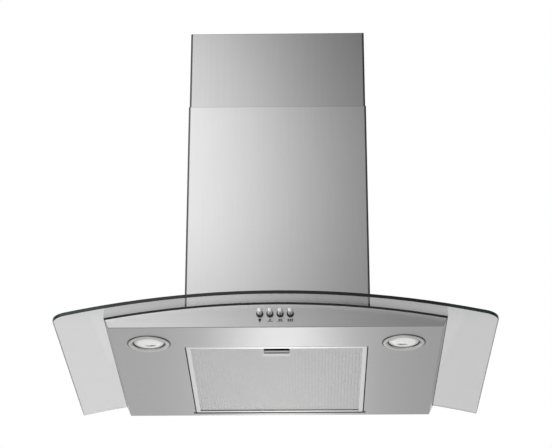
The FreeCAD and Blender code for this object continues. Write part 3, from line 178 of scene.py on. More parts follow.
def sum_of_squares(tree, first, second):
    """The squares of both values, added."""
    return math_node(tree, "MULTIPLY_ADD", first, first, times(tree, second, second))


def weighted(tree, first, second, share):
    """A mean of two values, in which the first counts by share and the second by the rest."""
    return math_node(tree, "MULTIPLY_ADD", first, share, times(tree, second, 1 - share))


def spread(tree, value, low, high, from_low=0.0, from_high=1.0):
    """Maps value from its own range to low and high."""
    node = add(tree, "ShaderNodeMapRange", {0: value, 1: from_low, 2: from_high, 3: low, 4: high})
    return node.outputs[0]


def smooth(tree, value, low, high, from_low, from_high):
    """As spread does, but with a slow start and a slow end."""
    inputs = {0: value, 1: from_low, 2: from_high, 3: low, 4: high}
    return add(tree, "ShaderNodeMapRange", inputs, interpolation_type="SMOOTHSTEP").outputs[0]


# %% Mix colours and shaders
def mixed_colour(tree, share, first, second):
    """One colour where share is zero, and the other where it is one."""
    return add(tree, "ShaderNodeMix", {0: share, 6: first, 7: second}, data_type="RGBA").outputs[2]


def tone(tree, value, dark, light):
    """Mixes two plain colours by value."""
    return mixed_colour(tree, value, (*dark, 1), (*light, 1))


def grey(tree, level):
    """A grey of this level."""
    return add(tree, "ShaderNodeCombineColor", {0: level, 1: level, 2: level}).outputs[0]


def scaled(tree, vector, factor):
    """A vector or a colour with each part times factor."""
    return add(tree, "ShaderNodeVectorMath", {0: vector, "Scale": factor}, operation="SCALE").outputs[0]


def layered(tree, share, under, over):
    """One shader where share is zero, and the other where it is one."""
    return add(tree, "ShaderNodeMixShader", {0: share, 1: under, 2: over}).outputs[0]


# %% Read a place and make patterns
def parts_of(tree, vector):
    """The three parts of a vector or a colour."""
    return add(tree, "ShaderNodeSeparateXYZ", {0: vector}).outputs


def object_point(tree, scale=(1, 1, 1)):
    """Object coordinates, scaled along each axis."""
    point = add(tree, "ShaderNodeTexCoord").outputs["Object"]
    return add(tree, "ShaderNodeMapping", {0: point, "Scale": scale}).outputs[0]


def object_place(tree):
    """The place on the surface: x to the right, y to the wall and z upwards, in metres."""
    return parts_of(tree, object_point(tree))


def from_middle(tree, place):
    """The distance from the middle of the hood, to the left or the right."""
    return math_node(tree, "ABSOLUTE", place[0])


def noise(tree, scale, detail=2.0, roughness=0.5, stretch=(1, 1, 1)):
    """Noise from 0 to 1, mostly near the middle. Detail adds finer layers, and roughness is their weight."""
    point = object_point(tree, stretch)
    inputs = {"Vector": point, "Scale": scale, "Detail": detail, "Roughness": roughness}
    return add(tree, "ShaderNodeTexNoise", inputs).outputs[0]


def bump(tree, height, depth, strength=1.0):
    """A normal that tilts as if the surface rose by depth metres where height is one."""
    inputs = {"Height": height, "Distance": depth, "Strength": strength}
    return add(tree, "ShaderNodeBump", inputs).outputs[0]


# %% Start a finish
finishes = {}


def finish(name, colour, metallic, roughness, **constants):
    """A new material. Returns its tree and its Principled shader, which holds the plain values."""
    material = bpy.data.materials.new(name)
    material.use_nodes = True
    tree = material.node_tree
    shader = tree.nodes["Principled BSDF"]
    connect(tree, shader, Base_Color=(*colour, 1), Metallic=metallic, Roughness=roughness, **constants)
    finishes[name] = material
    return tree, shader


def share_of(colour, share):
    """A plain colour with each part times share."""
    return tuple(part * share for part in colour)


# %% [markdown]
# ## Light
# Sheet metal shows what stands around it, so the light matters as much as the steel. One could hang a
# picture of a studio round the scene, but plain shapes are easier to move. Two walls of light stand close
# in front, one above the other: the duct cover mirrors the upper one, and the front panel the lower one.
# Each is bright at the left and dim at the right, and weakens towards its foot and its head. Because they
# are close, each place of the sheet mirrors another part of them, so the steel runs from light to dark. A
# small low light behind the hood gives the bright patch on the underside. The backdrop is white behind the
# hood, dim in front and a little darker at both sides.

# %% Set the world
backdrop_level = 1.0
front_level = 0.17
front_to_back = (-0.6, 0.4)
side_share = 0.45
middle_to_side = (0.45, 0.9)
through_glass = (0.69, 0.57)
glass_left_to_right = (-0.12, 0.10)
overhead_share = 0.81
glass_low_to_high = (0.366, 0.380)


def backdrop(tree, colour):
    """A surface of the world that shines in this colour."""
    return add(tree, "ShaderNodeBackground", {"Color": colour}).outputs[0]


def make_world():
    """White to the camera, and through the glass a pale grey that darkens to the right and overhead. Other
    rays see a backdrop that fades to the front. Each range is of one part of the heading: x to the right, y
    to the wall or z upwards."""
    world = bpy.data.worlds.new("studio")
    world.use_nodes = True
    tree = world.node_tree
    tree.nodes.clear()
    heading = parts_of(tree, add(tree, "ShaderNodeTexCoord").outputs["Generated"])
    depth = spread(tree, heading[1], front_level, backdrop_level, *front_to_back)
    sides = spread(tree, math_node(tree, "ABSOLUTE", heading[0]), 1.0, side_share, *middle_to_side)
    dome = backdrop(tree, grey(tree, times(tree, depth, sides)))
    white = backdrop(tree, (1, 1, 1, 1))
    pale = smooth(tree, heading[0], *through_glass, *glass_left_to_right)
    overhead = smooth(tree, heading[2], 1.0, overhead_share, *glass_low_to_high)
    behind = backdrop(tree, grey(tree, times(tree, pale, overhead)))
    path = add(tree, "ShaderNodeLightPath").outputs
    both = layered(tree, path["Is Camera Ray"], dome, white)
    every = layered(tree, path["Is Transmission Ray"], both, behind)
    add(tree, "ShaderNodeOutputWorld", {0: every})
    bpy.context.scene.world = world


make_world()
print("world:", bpy.context.scene.world.name)

# %% Place the lights
wall_left = -1.50
wall_right = 1.20
wall_front = -1.10
wall_foot = -0.45
wall_split = 0.16
wall_head = 1.15


def soft_box(name, place, aim, width, height, radiance):
    """An area light that looks at aim. Its power follows from the radiance of its face and its size."""
    data = bpy.data.lights.new(name, "AREA")
    data.shape = "RECTANGLE"
    data.size = width
    data.size_y = height
    data.energy = radiance * math.pi * width * height
    light = bpy.data.objects.new(name, data)
    back = np.array(place) - np.array(aim)
    back = back / np.linalg.norm(back)
    across = np.cross([0, 0, 1], back)
    across = across / np.linalg.norm(across)
    light.matrix_world = axes_matrix(across, np.cross(back, across), back, place)
    light.visible_camera = False
    bpy.context.scene.collection.objects.link(light)
    return light


def wall_of_light(name, low, high):
    """A soft box that stands upright in front of the hood, between two heights."""
    place = ((wall_left + wall_right) / 2, wall_front, (low + high) / 2)
    return soft_box(name, place, (place[0], 0.0, place[2]), wall_right - wall_left, high - low, 1.0)


cover_light = wall_of_light("cover_light", wall_split, wall_head)
panel_light = wall_of_light("panel_light", wall_foot, wall_split)
low_light = soft_box(
    "low_light", place=(-0.02, 0.80, -0.66), aim=(0.0, -0.30, -0.18), width=0.50, height=0.16, radiance=2.8,
)

# %% [markdown]
# A light can have nodes as well. Here its strength is worked out from the place on its face, so one light
# does the work of a row of them.

# %% Fade the lights
lean_heights = (0.70, 0.84)
lean_centre = -0.06


def light_face(light):
    """Gives a light nodes. Returns their tree, and the x, y and z of the place on its face."""
    light.data.use_nodes = True
    tree = light.data.node_tree
    return tree, parts_of(tree, add(tree, "ShaderNodeNewGeometry").outputs["Position"])


def fade(light, bright, dim, from_x, to_x, foot, head, lean=0.0):
    """Makes the face of a light run from bright at from_x to dim at to_x. Below and above it weakens too:
    foot and head are each a height, the share of light there, and the height where the full light is reached.
    With a lean its upper part gains that share for each metre to the left, and loses as much to the right."""
    tree, place = light_face(light)
    level = smooth(tree, place[0], bright, dim, from_x, to_x)
    for height, share, full in (foot, head):
        level = times(tree, level, smooth(tree, place[2], share, 1.0, height, full))
    upper = smooth(tree, place[2], 0.0, -lean, *lean_heights)
    gain = math_node(tree, "MULTIPLY_ADD", math_node(tree, "SUBTRACT", place[0], lean_centre), upper, 1.0)
    connect(tree, tree.nodes["Emission"], Strength=times(tree, level, gain))


def fade_sideways(light, centre, reach, share):
    """Makes the face of a light fall from full strength at its centre to a share of it, reach metres away."""
    tree, place = light_face(light)
    level = smooth(tree, apart(tree, place[0], centre), 1.0, share, 0.0, reach)
    connect(tree, tree.nodes["Emission"], Strength=level)


fade(
    cover_light, bright=1.50, dim=0.12, from_x=-0.29, to_x=0.24,
    foot=(0.10, 0.54, 0.50), head=(1.12, 0.60, 0.60), lean=1.25,
)
fade(
    panel_light, bright=1.03, dim=0.15, from_x=-0.41, to_x=0.31,
    foot=(-0.45, 0.95, 0.0), head=(0.17, 0.98, 0.16),
)
fade_sideways(low_light, centre=-0.012, reach=0.215, share=0.03)

# %% [markdown]
# ## Floor
# The underside of the hood mirrors the floor behind it, so the floor is more than a ground to stand on. It
# is pale matt paint. To the camera and to mirrors it also glows a little, so it reads as part of the white
# backdrop and still shows the hood's shadow. In mirrors the glow fades towards the front and both sides, as
# the backdrop does. From below it is clear, so that the underside can be looked at from any height.

# %% Lay the floor
floor_drop = 1.55
floor_half = 14.0
floor_front_glow = 0.60
floor_back_glow = 0.73
floor_front_to_back = (-1.5, 2.0)
floor_right_share = 0.67
floor_right_fade = (0.10, 0.75)
floor_left_share = 0.88
floor_left_fade = (-0.75, -0.20)
glow_in_mirrors = 0.85
glow_in_view = 0.45


def paint_floor():
    """Pale matt paint. It glows to the camera and to mirrors, and is clear from below."""
    tree, shader = finish("floor_paint", (0.80, 0.80, 0.79), 0.0, 0.8)
    mottle = noise(tree, 3.0)
    connect(tree, shader, Base_Color=tone(tree, mottle, (0.78, 0.78, 0.77), (0.82, 0.82, 0.81)))
    path = add(tree, "ShaderNodeLightPath").outputs
    seen = most(tree, path["Is Camera Ray"], path["Is Transmission Ray"])
    place = object_place(tree)
    depth = spread(tree, place[1], floor_front_glow, floor_back_glow, *floor_front_to_back)
    right = smooth(tree, place[0], 1.0, floor_right_share, *floor_right_fade)
    left = smooth(tree, place[0], floor_left_share, 1.0, *floor_left_fade)
    level = most(tree, times(tree, depth, right, left), seen)
    glow = add(tree, "ShaderNodeEmission", {"Color": grey(tree, level)}).outputs[0]
    mirrored = times(tree, path["Is Glossy Ray"], glow_in_mirrors)
    share = most(tree, mirrored, times(tree, seen, glow_in_view))
    below = add(tree, "ShaderNodeNewGeometry").outputs["Backfacing"]
    clear = add(tree, "ShaderNodeBsdfTransparent").outputs[0]
    surface = layered(tree, below, layered(tree, share, shader.outputs[0], glow), clear)
    connect(tree, tree.nodes["Material Output"], Surface=surface)


def new_piece(name, points, faces, material):
    """A mesh of these points and faces, with one material, in an object at the origin."""
    mesh = bpy.data.meshes.new(name)
    mesh.from_pydata(points.tolist(), [], faces)
    mesh.materials.append(material)
    piece = bpy.data.objects.new(name, mesh)
    bpy.context.scene.collection.objects.link(piece)
    return piece


paint_floor()
floor_corners = np.array([(-1, -1), (1, -1), (1, 1), (-1, 1)]) * floor_half
floor_height = np.full(len(floor_corners), cad_low.z - floor_drop)
floor_points = np.column_stack([floor_corners, floor_height])
floor = new_piece("floor", floor_points, [(0, 1, 2, 3)], finishes["floor_paint"])
print("height of the floor:", round(floor_height[0], 3))

# %% [markdown]
# ## Brushed stainless
# Stainless sheet for kitchens is ground with a belt, which leaves fine scratches in one direction. They are
# too fine to see one by one, but they spread the reflection across the grain. The grain runs up the duct
# cover and along the canopy. The shader's anisotropy makes the wide streak, and a noise that is stretched
# along the grain varies the roughness, the tone and the normal a little, so that the sheet still reads as
# brushed from close by. A second, coarser noise gives the faint streaks that are seen from across the room.
#
# Along each bend a darker line is painted: a painted reflection of the dim sides of the room, which a bend
# mirrors. A bend is found by its normal, which is the only one that points along no axis. The painted line is
# wider beside the sharp bends of the duct covers, and painted shadow lines run along their top rims, round
# the rear of the filter's opening and round the lamps, so those are told by their distance from the edge.

# %% Measure the lamps and the filter's opening
lens_low, lens_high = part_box("right_lamp_lens")
ring_low, ring_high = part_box("right_lamp_trim")
frame_low, frame_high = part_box("filter_frame")
body_low, body_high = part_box("canopy_body")
lamp_x = (lens_low.x + lens_high.x) / 2
lamp_y = (lens_low.y + lens_high.y) / 2
ring_radius = (ring_high.x - ring_low.x) / 2
lens_radius = (lens_high.x - lens_low.x) / 2
filter_depth = 0.345
filter_gap = 0.0016
opening_rear = frame_low.y + filter_depth + filter_gap
print("lamp centre:", round(lamp_x, 4), round(lamp_y, 4), "lens radius:", round(lens_radius, 4))
print("rear of the filter's opening:", round(opening_rear, 4))

# %% Find the bends and the edges
flat_part = (0.88, 0.965)
side_share_of_radius = (0.45, 0.85)


def object_normal(tree):
    """The normal's three parts along the object's own axes."""
    return parts_of(tree, add(tree, "ShaderNodeTexCoord").outputs["Normal"])


def bend_mask(tree):
    """One on a bend and zero on a flat face: a flat face's normal has one part that is nearly 1."""
    parts = [math_node(tree, "ABSOLUTE", part) for part in object_normal(tree)]
    return spread(tree, most(tree, *parts), 1.0, 0.0, *flat_part)


def edge_strip(tree, distance, width):
    """One where distance is under width, and zero from one and a half times width on."""
    return smooth(tree, distance, 1.0, 0.0, width, 1.5 * width)


def lamp_radius(tree, place):
    """The distance from the axis of the nearest lamp."""
    across = math_node(tree, "SUBTRACT", from_middle(tree, place), lamp_x)
    along = math_node(tree, "SUBTRACT", place[1], lamp_y)
    return math_node(tree, "SQRT", sum_of_squares(tree, across, along))


def lamp_sides(tree, place):
    """One at the left and right sides of a lamp, and zero in front of it and behind it."""
    across = apart(tree, from_middle(tree, place), lamp_x)
    share = math_node(tree, "DIVIDE", across, lamp_radius(tree, place))
    return smooth(tree, share, 0.0, 1.0, *side_share_of_radius)


# %% Draw the painted shade lines
# These tones darken the steel with painted reflection and painted shadow along bends and edges.
bend_shade_tone = 0.55
# Painted shadow round the rear of the filter's opening, where a gap lies behind the frame.
opening_shadow_width = 0.0042
opening_shadow_tone = 0.10
# Painted shadow on the panel round each lamp's ring, wider at the lamp's left and right sides.
lamp_shadow_width = 0.0010
lamp_shadow_tone = 0.30
lamp_shadow_side_squeeze = 0.5
# Painted reflection, wider, beside the sharp front corners of the duct covers.
corner_shade_width = 0.0028
corner_shade_tone = 0.15
# Painted shadow along the top rim of each duct cover, where the covers meet.
rim_shadow_width = 0.0010
rim_shadow_tone = 0.70


def cover_shade_lines(node):
    """The painted shade of a duct cover: a painted reflection along both front corners, and a painted shadow
    along its top rim. Returns a function that gives masks with their tones."""
    low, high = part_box(node)

    def lines(tree):
        place = object_place(tree)
        from_side = math_node(tree, "SUBTRACT", high.x, from_middle(tree, place))
        from_front = math_node(tree, "SUBTRACT", place[1], low.y)
        corner = edge_strip(tree, most(tree, from_side, from_front), corner_shade_width)
        shaded_rim = edge_strip(tree, math_node(tree, "SUBTRACT", high.z, place[2]), rim_shadow_width)
        return [(corner, corner_shade_tone), (shaded_rim, rim_shadow_tone)]

    return lines


def canopy_shade_lines(tree):
    """Painted shade on the canopy: painted reflection on its bends, painted shadow round the rear of the
    filter's opening and round the lamps, wider at the lamps' sides. Returns masks with their tones."""
    place = object_place(tree)
    past_side = math_node(tree, "SUBTRACT", from_middle(tree, place), frame_high.x)
    from_rear = apart(tree, place[1], opening_rear)
    opening_shadow = edge_strip(tree, most(tree, past_side, from_rear), opening_shadow_width)
    squeeze = spread(tree, lamp_sides(tree, place), 1.0, lamp_shadow_side_squeeze)
    past_ring = times(tree, apart(tree, lamp_radius(tree, place), ring_radius), squeeze)
    lamp_shadow_ring = edge_strip(tree, past_ring, lamp_shadow_width)
    return [(bend_mask(tree), bend_shade_tone), (opening_shadow, opening_shadow_tone), (lamp_shadow_ring, lamp_shadow_tone)]


# %% Brush the sheets
steel_tint = (0.60, 0.60, 0.60)
# The upper duct cover's steel is darker than the lower one's: painted shade, as it stands behind the lower
# cover.
shaded_inner_steel_tint = (0.51, 0.51, 0.51)
grain_tones = (0.93, 1.06)
grain_roughness = (0.27, 0.33)
cloud_roughness = (-0.02, 0.02)
skin_depth = 0.00002
level_grain = [(25, 2400, 2400), (6, 300, 300), "X"]
upright_grain = [(2400, 2400, 25), (300, 300, 5), "Z"]


def brushed_steel(name, fine_stretch, coarse_stretch, tangent_axis, tint, lines):
    """Brushed sheet. Each stretch is how fast a grain varies along each axis, in periods per metre, and
    lines gives masks of painted shade with the share of the sheet's colour that each of them keeps."""
    tree, shader = finish(name, tint, 1.0, 0.31, Anisotropic=0.40)
    fine = noise(tree, 1.0, 4.0, 0.6, fine_stretch)
    coarse = noise(tree, 1.0, 3.0, 0.55, coarse_stretch)
    cloud = noise(tree, 7.0)
    sheet = tone(tree, weighted(tree, fine, coarse, 0.5), *[share_of(tint, share) for share in grain_tones])
    shade = times(tree, *[spread(tree, mask, 1.0, kept) for mask, kept in lines(tree)])
    clouded = spread(tree, cloud, *cloud_roughness)
    rough = math_node(tree, "ADD", spread(tree, fine, *grain_roughness), clouded)
    tangent = add(tree, "ShaderNodeTangent", direction_type="RADIAL", axis=tangent_axis).outputs[0]
    connect(tree, shader, Base_Color=scaled(tree, sheet, shade), Roughness=rough)
    connect(tree, shader, Normal=bump(tree, fine, skin_depth), Tangent=tangent)


brushed_steel("brushed_canopy", *level_grain, steel_tint, canopy_shade_lines)
brushed_steel("brushed_cover", *upright_grain, steel_tint, cover_shade_lines("lower_duct_cover"))
brushed_steel("brushed_inner_cover", *upright_grain, shaded_inner_steel_tint, cover_shade_lines("upper_duct_cover"))
print("steels:", [name for name in finishes if name.startswith("brushed")])

# %% [markdown]
# ## Plated and galvanised parts
# Brackets, the wall plate and the blower case are galvanised: hot zinc freezes into flat crystals, a few
# millimetres to a centimetre wide, each of its own grey. Voronoi cells give that pattern. Screws and pins
# are zinc plated, which is smoother and a little warmer. The buttons are chromed, and the lamp rings are
# satin.

# %% Make the plated finishes
crystals_per_metre = 130.0


def galvanised(name):
    """Zinc crystals: each cell has its own grey and roughness, and a fine noise roughens the skin."""
    tree, shader = finish(name, (0.50, 0.52, 0.53), 1.0, 0.42)
    cell = add(tree, "ShaderNodeTexVoronoi", {"Vector": object_point(tree), "Scale": crystals_per_metre})
    fine = noise(tree, 900.0)
    mixed = weighted(tree, parts_of(tree, cell.outputs["Color"])[0], fine, 0.75)
    colour = tone(tree, mixed, (0.42, 0.44, 0.45), (0.60, 0.62, 0.63))
    connect(tree, shader, Base_Color=colour, Roughness=spread(tree, mixed, 0.34, 0.50))
    connect(tree, shader, Normal=bump(tree, fine, skin_depth))


def plated(name, dark, light, rough_low, rough_high, scale):
    """A smooth plated metal with faint handling marks."""
    middle = tuple((a + b) / 2 for a, b in zip(dark, light))
    tree, shader = finish(name, middle, 1.0, rough_low)
    marks = noise(tree, scale, 3.0)
    connect(tree, shader, Base_Color=tone(tree, marks, dark, light))
    connect(tree, shader, Roughness=spread(tree, marks, rough_low, rough_high, 0.3, 0.7))


galvanised("zinc_sheet")
plated("zinc_screws", (0.52, 0.51, 0.47), (0.68, 0.67, 0.62), 0.25, 0.38, 400.0)
plated("chrome_plate", (0.88, 0.88, 0.89), (0.93, 0.93, 0.94), 0.22, 0.30, 300.0)
print("finishes so far:", len(finishes))

# %% Turn the lamp rings
# The walls of the rings are darkened with painted shade close to the panel and the lens.
unbrushed = (0.0013, 0.0007)
inner_wall_shift = 0.0010
outer_wall_shade = 0.22
inner_wall_shade = 0.62
side_wall_shade = 0.08
# A thin painted shadow on the ring's face, round the front half of the bore.
lip_shadow_radius = lens_radius + 0.0033
lip_shadow_width = 0.0008
lip_shadow_tone = 0.30
lip_shadow_end = (-0.004, 0.008)


def lamp_ring(name, face, panel_z):
    """A satin ring. Its face is brushed bright. Close to the panel and the lens its walls are darkened with
    painted shade, most of all at the left and right sides. It starts further up on the inner wall than on the
    outer one. Round the front half of the bore a thin painted shadow lines the lip."""
    tree, shader = finish(name, face, 1.0, 0.42)
    place = object_place(tree)
    radius = lamp_radius(tree, place)
    inner = math_node(tree, "LESS_THAN", radius, (ring_radius + lens_radius) / 2)
    height = math_node(tree, "MULTIPLY_ADD", inner, -inner_wall_shift, place[2])
    in_shade = smooth(tree, height, 0.0, 1.0, *[panel_z - reach for reach in unbrushed])
    level = spread(tree, inner, outer_wall_shade, inner_wall_shade)
    painted_wall_shade = grey(tree, spread(tree, lamp_sides(tree, place), level, side_wall_shade))
    lip_shadow = edge_strip(tree, apart(tree, radius, lip_shadow_radius), lip_shadow_width)
    in_front = smooth(tree, place[1], 1.0, 0.0, *[lamp_y + reach for reach in lip_shadow_end])
    lip_shaded = spread(tree, times(tree, lip_shadow, in_front), 1.0, lip_shadow_tone)
    marks = noise(tree, 250.0, 3.0)
    brushed = scaled(tree, tone(tree, marks, share_of(face, 0.95), face), lip_shaded)
    connect(tree, shader, Base_Color=mixed_colour(tree, in_shade, brushed, painted_wall_shade))
    connect(tree, shader, Roughness=spread(tree, marks, 0.40, 0.48, 0.3, 0.7))


lamp_ring("satin_ring", (0.80, 0.80, 0.80), body_low.z)
print("radius of the line in the lip:", round(lip_shadow_radius, 4))

# %% [markdown]
# ## Aluminium and laminations
# Drawn aluminium has fine lines along the way in which it was pulled, here from front to rear. The filter's
# frame, its mesh and the latch share that finish, and the frame and the latch add painted shade where shadow
# falls on them. The motor's iron is a stack of thin stamped sheets, seen as fine lines round it.

# %% Make the aluminium
line_depth = 0.000015
facing_down = (-0.9, -0.8)
facing_front = (-0.9, -0.6)
# Painted shade on the inner wall of the filter frame's rear bar.
rear_wall_shade_tone = 0.20
# Painted shadow on the latch, where the finger slot lies.
slot_shadow_tone = 0.12


def drawn_aluminium(name, tint, rough_low, rough_high, flatten=0.0):
    """Satin aluminium with fine drawing lines from front to rear. The share flatten turns normals that point
    down towards straight down, as where torn strands blur the slopes of a fold. Returns the tree, the shader
    and the pattern."""
    tree, shader = finish(name, tint, 1.0, rough_low)
    lines = noise(tree, 1.0, 3.0, stretch=(1500, 40, 1500))
    patch = noise(tree, 60.0)
    mixed = weighted(tree, lines, patch, 0.6)
    connect(tree, shader, Base_Color=tone(tree, mixed, share_of(tint, 0.93), tint))
    connect(tree, shader, Roughness=spread(tree, mixed, rough_low, rough_high))
    if flatten:
        down = times(tree, spread(tree, object_normal(tree)[2], flatten, 0.0, *facing_down), -1.0)
        level = add(tree, "ShaderNodeCombineXYZ", {2: down}).outputs[0]
        own = scaled(tree, add(tree, "ShaderNodeTexCoord").outputs["Normal"], 1.0 - flatten)
        summed = add(tree, "ShaderNodeVectorMath", {0: own, 1: level}, operation="ADD").outputs[0]
        settings = {"vector_type": "NORMAL", "convert_from": "OBJECT", "convert_to": "WORLD"}
        normal = add(tree, "ShaderNodeVectorTransform", {0: summed}, **settings).outputs[0]
    else:
        normal = bump(tree, lines, line_depth)
    connect(tree, shader, Normal=normal)
    return tree, shader, mixed


def filter_bars(name, tint, behind_y):
    """The frame's channel. The inner wall of its rear bar is darkened with painted shade, for the mesh's
    shadow.
    """
    tree, shader, mixed = drawn_aluminium(name, tint, 0.28, 0.38)
    facing = smooth(tree, object_normal(tree)[1], 1.0, 0.0, *facing_front)
    rear_wall_shade = times(tree, facing, math_node(tree, "GREATER_THAN", object_place(tree)[1], behind_y))
    shade = times(tree, spread(tree, mixed, 0.93, 1.0), spread(tree, rear_wall_shade, 1.0, rear_wall_shade_tone))
    connect(tree, shader, Base_Color=scaled(tree, tint, shade))


def latch_metal(name, tint, front, shadow_width):
    """The same satin metal, darkened with painted shadow along its front, where the finger slot lies."""
    tree, shader, mixed = drawn_aluminium(name, tint, 0.45, 0.55)
    edge = (front + shadow_width / 2, front + shadow_width)
    slot_shadow = smooth(tree, object_place(tree)[1], slot_shadow_tone, 1.0, *edge)
    shade = times(tree, spread(tree, mixed, 0.95, 1.05), slot_shadow)
    connect(tree, shader, Base_Color=scaled(tree, tint, shade))


# %% Dress the filter, the latch and the motor iron
rear_bar_only = -0.05
tray_low, tray_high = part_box("latch_case")
finger_slot = 0.0095
case_wall = 0.0020
slot_rear = tray_low.y + case_wall + finger_slot
handle_shadow_width = 0.0018
pocket_shadow_width = 0.0010
lamination_scale = 320.0


def laminations(name):
    """A stack of iron sheets: a wave along the shaft, about 1 mm long, darkens the joints between them."""
    tree, shader = finish(name, (0.28, 0.28, 0.30), 1.0, 0.5)
    inputs = {"Vector": object_point(tree), "Scale": lamination_scale}
    sheets = add(tree, "ShaderNodeTexWave", inputs, wave_type="BANDS", bands_direction="X").outputs[1]
    connect(tree, shader, Base_Color=tone(tree, sheets, (0.12, 0.12, 0.13), (0.34, 0.34, 0.36)))
    connect(tree, shader, Normal=bump(tree, sheets, 0.00005))


filter_bars("filter_aluminium", (0.88, 0.88, 0.88), rear_bar_only)
drawn_aluminium("mesh_aluminium", (0.93, 0.93, 0.93), 0.48, 0.58, flatten=0.65)
latch_metal("latch_aluminium", (0.55, 0.55, 0.55), slot_rear, handle_shadow_width)
latch_metal("latch_pocket", (0.50, 0.50, 0.50), slot_rear, pocket_shadow_width)
laminations("motor_iron")
print("latch tray:", tuple(round(v, 4) for v in (*tray_low, *tray_high)))

# %% [markdown]
# ## Glass
# The canopy glass is 6 mm of clear tempered float glass. Looked at through its faces it is almost clear,
# but its front edge, where the light travels a long way inside, is dark green. A volume that absorbs light
# would show that only with many bounces, so the edge is told from the faces by its normal instead: the
# normal of a face points nearly up or down, and that of the edge lies flat. The front edge is told from the
# others by its place. Where the steel stands behind it, the front edge is nearly black with painted shade,
# and over the free ends it turns green. The edges at the sides and the wall are ground matt, and stay pale.

# %% Make the plate glass
edge_to_face = (0.75, 0.93)
front_reach = (0.012, 0.026)
free_reach = (-0.02, 0.01)
glass_bending = 1.5


def plate_glass(name, body_half_width, front):
    """Clear glass, its front edge nearly black with painted shade over the body, green past the body's sides,
    and pale matt edges elsewhere.
    """
    tree, shader = finish(name, (0.95, 0.95, 0.95), 0.0, 0.0, IOR=glass_bending, Transmission_Weight=1.0)
    smear = noise(tree, 30.0, 3.0)
    connect(tree, shader, Base_Color=tone(tree, smear, (0.865, 0.87, 0.865), (0.89, 0.895, 0.89)))
    connect(tree, shader, Roughness=spread(tree, smear, 0.0, 0.02, 0.45, 0.75))
    ground = noise(tree, 500.0)
    frost = {"Roughness": 0.55, "IOR": glass_bending, "Transmission Weight": 1.0}
    matt = add(tree, "ShaderNodeBsdfPrincipled", frost)
    connect(tree, matt, Base_Color=tone(tree, ground, (0.78, 0.80, 0.79), (0.88, 0.90, 0.89)))
    # Painted shade: the front edge over the body is nearly black.
    edge_shade = tone(tree, ground, (0.004, 0.005, 0.005), (0.008, 0.010, 0.010))
    green = tone(tree, ground, (0.012, 0.026, 0.021), (0.022, 0.042, 0.035))
    place = object_place(tree)
    free_from = [body_half_width + reach for reach in free_reach]
    free = smooth(tree, from_middle(tree, place), 0.0, 1.0, *free_from)
    edge = add(tree, "ShaderNodeBsdfPrincipled", {"Roughness": 0.16, "IOR": glass_bending})
    connect(tree, edge, Base_Color=mixed_colour(tree, free, edge_shade, green))
    forward = smooth(tree, place[1], 1.0, 0.0, *[front + reach for reach in front_reach])
    edges = layered(tree, forward, matt.outputs[0], edge.outputs[0])
    upright = math_node(tree, "ABSOLUTE", object_normal(tree)[2])
    surface = layered(tree, spread(tree, upright, 1.0, 0.0, *edge_to_face), shader.outputs[0], edges)
    connect(tree, tree.nodes["Material Output"], Surface=surface)


plate_glass("canopy_glass", body_high.x, cad_low.y)
print("half the canopy's width:", round(body_high.x, 4))

# %% [markdown]
# A lamp's lens is frosted, and pressed with fine rings. They could be cut into the mesh, but they are only
# seen as a faint shimmer, so a bump draws them. The lens glows a little, as if its diode were on at a low
# level, and painted shade darkens its middle, its rim and the place where the diode's mount stands behind it.

# %% Make the lenses
lens_white = (0.93, 0.93, 0.92)
lens_dark = (0.08, 0.08, 0.08)
lens_glow = (1.0, 1.0, 0.98)
lens_dim_glow = (0.1, 0.1, 0.1)
lens_ring_pitch = 0.0016
lens_ring_depth = 0.00004
# Painted shade on the lens: a dark middle, a grey rim and a dark ellipse behind the diode's mount.
boss_radius = 0.0032
boss_edge_shares = (0.8, 1.1)
boss_shade = 0.3
rim_shares = (0.68, 0.97)
rim_shade = 0.45
mount_shadow_shift = (0.0026, 0.0055)
mount_shadow_half = (0.0100, 0.0042)
mount_shadow_edge_shares = (0.3, 1.3)


def lamp_glass(name):
    """Frosted lens: fine pressed rings round its middle, and a small boss there, dark with painted shade.
    Painted shade also greys its rim, and a painted shadow of the diode's mount lies as a soft dark ellipse."""
    tree, shader = finish(
        name, lens_white, 0.0, 0.30, Coat_Weight=0.2, IOR=glass_bending,
        Emission_Strength=0.27, Emission_Color=(*lens_glow, 1),
    )
    place = object_place(tree)
    radius = lamp_radius(tree, place)
    shaded_boss = spread(tree, radius, boss_shade, 0.0, *[boss_radius * share for share in boss_edge_shares])
    across = math_node(tree, "SUBTRACT", from_middle(tree, place), lamp_x - mount_shadow_shift[0])
    along = math_node(tree, "SUBTRACT", place[1], lamp_y + mount_shadow_shift[1])
    shadow_x = math_node(tree, "DIVIDE", across, mount_shadow_half[0])
    shadow_y = math_node(tree, "DIVIDE", along, mount_shadow_half[1])
    mount_shadow = smooth(tree, sum_of_squares(tree, shadow_x, shadow_y), 1.0, 0.0, *mount_shadow_edge_shares)
    shaded_rim = smooth(tree, radius, 0.0, rim_shade, *[lens_radius * share for share in rim_shares])
    shade = most(tree, shaded_boss, mount_shadow, shaded_rim)
    connect(tree, shader, Base_Color=tone(tree, shade, lens_white, lens_dark))
    connect(tree, shader, Emission_Color=tone(tree, shade, lens_glow, lens_dim_glow))
    wave = math_node(tree, "SINE", times(tree, radius, 2 * math.pi / lens_ring_pitch))
    connect(tree, shader, Normal=bump(tree, wave, lens_ring_depth, 0.6))


lamp_glass("frosted_lens")
print("rings in a lens:", round(lens_radius / lens_ring_pitch))

# %% [markdown]
# ## Plastics, rubber and wire
# Moulded parts have a spark-eroded skin, a fine even grain that takes the shine off. The colour hardly
# varies, but dust settles on it, so a slow noise lifts the tone a little. Rubber is the same with less
# shine, and a cable's sheath has a coarser grain.

# %% Make the mouldings
dust_grey = 0.02
grain_step = (-0.05, 0.07)


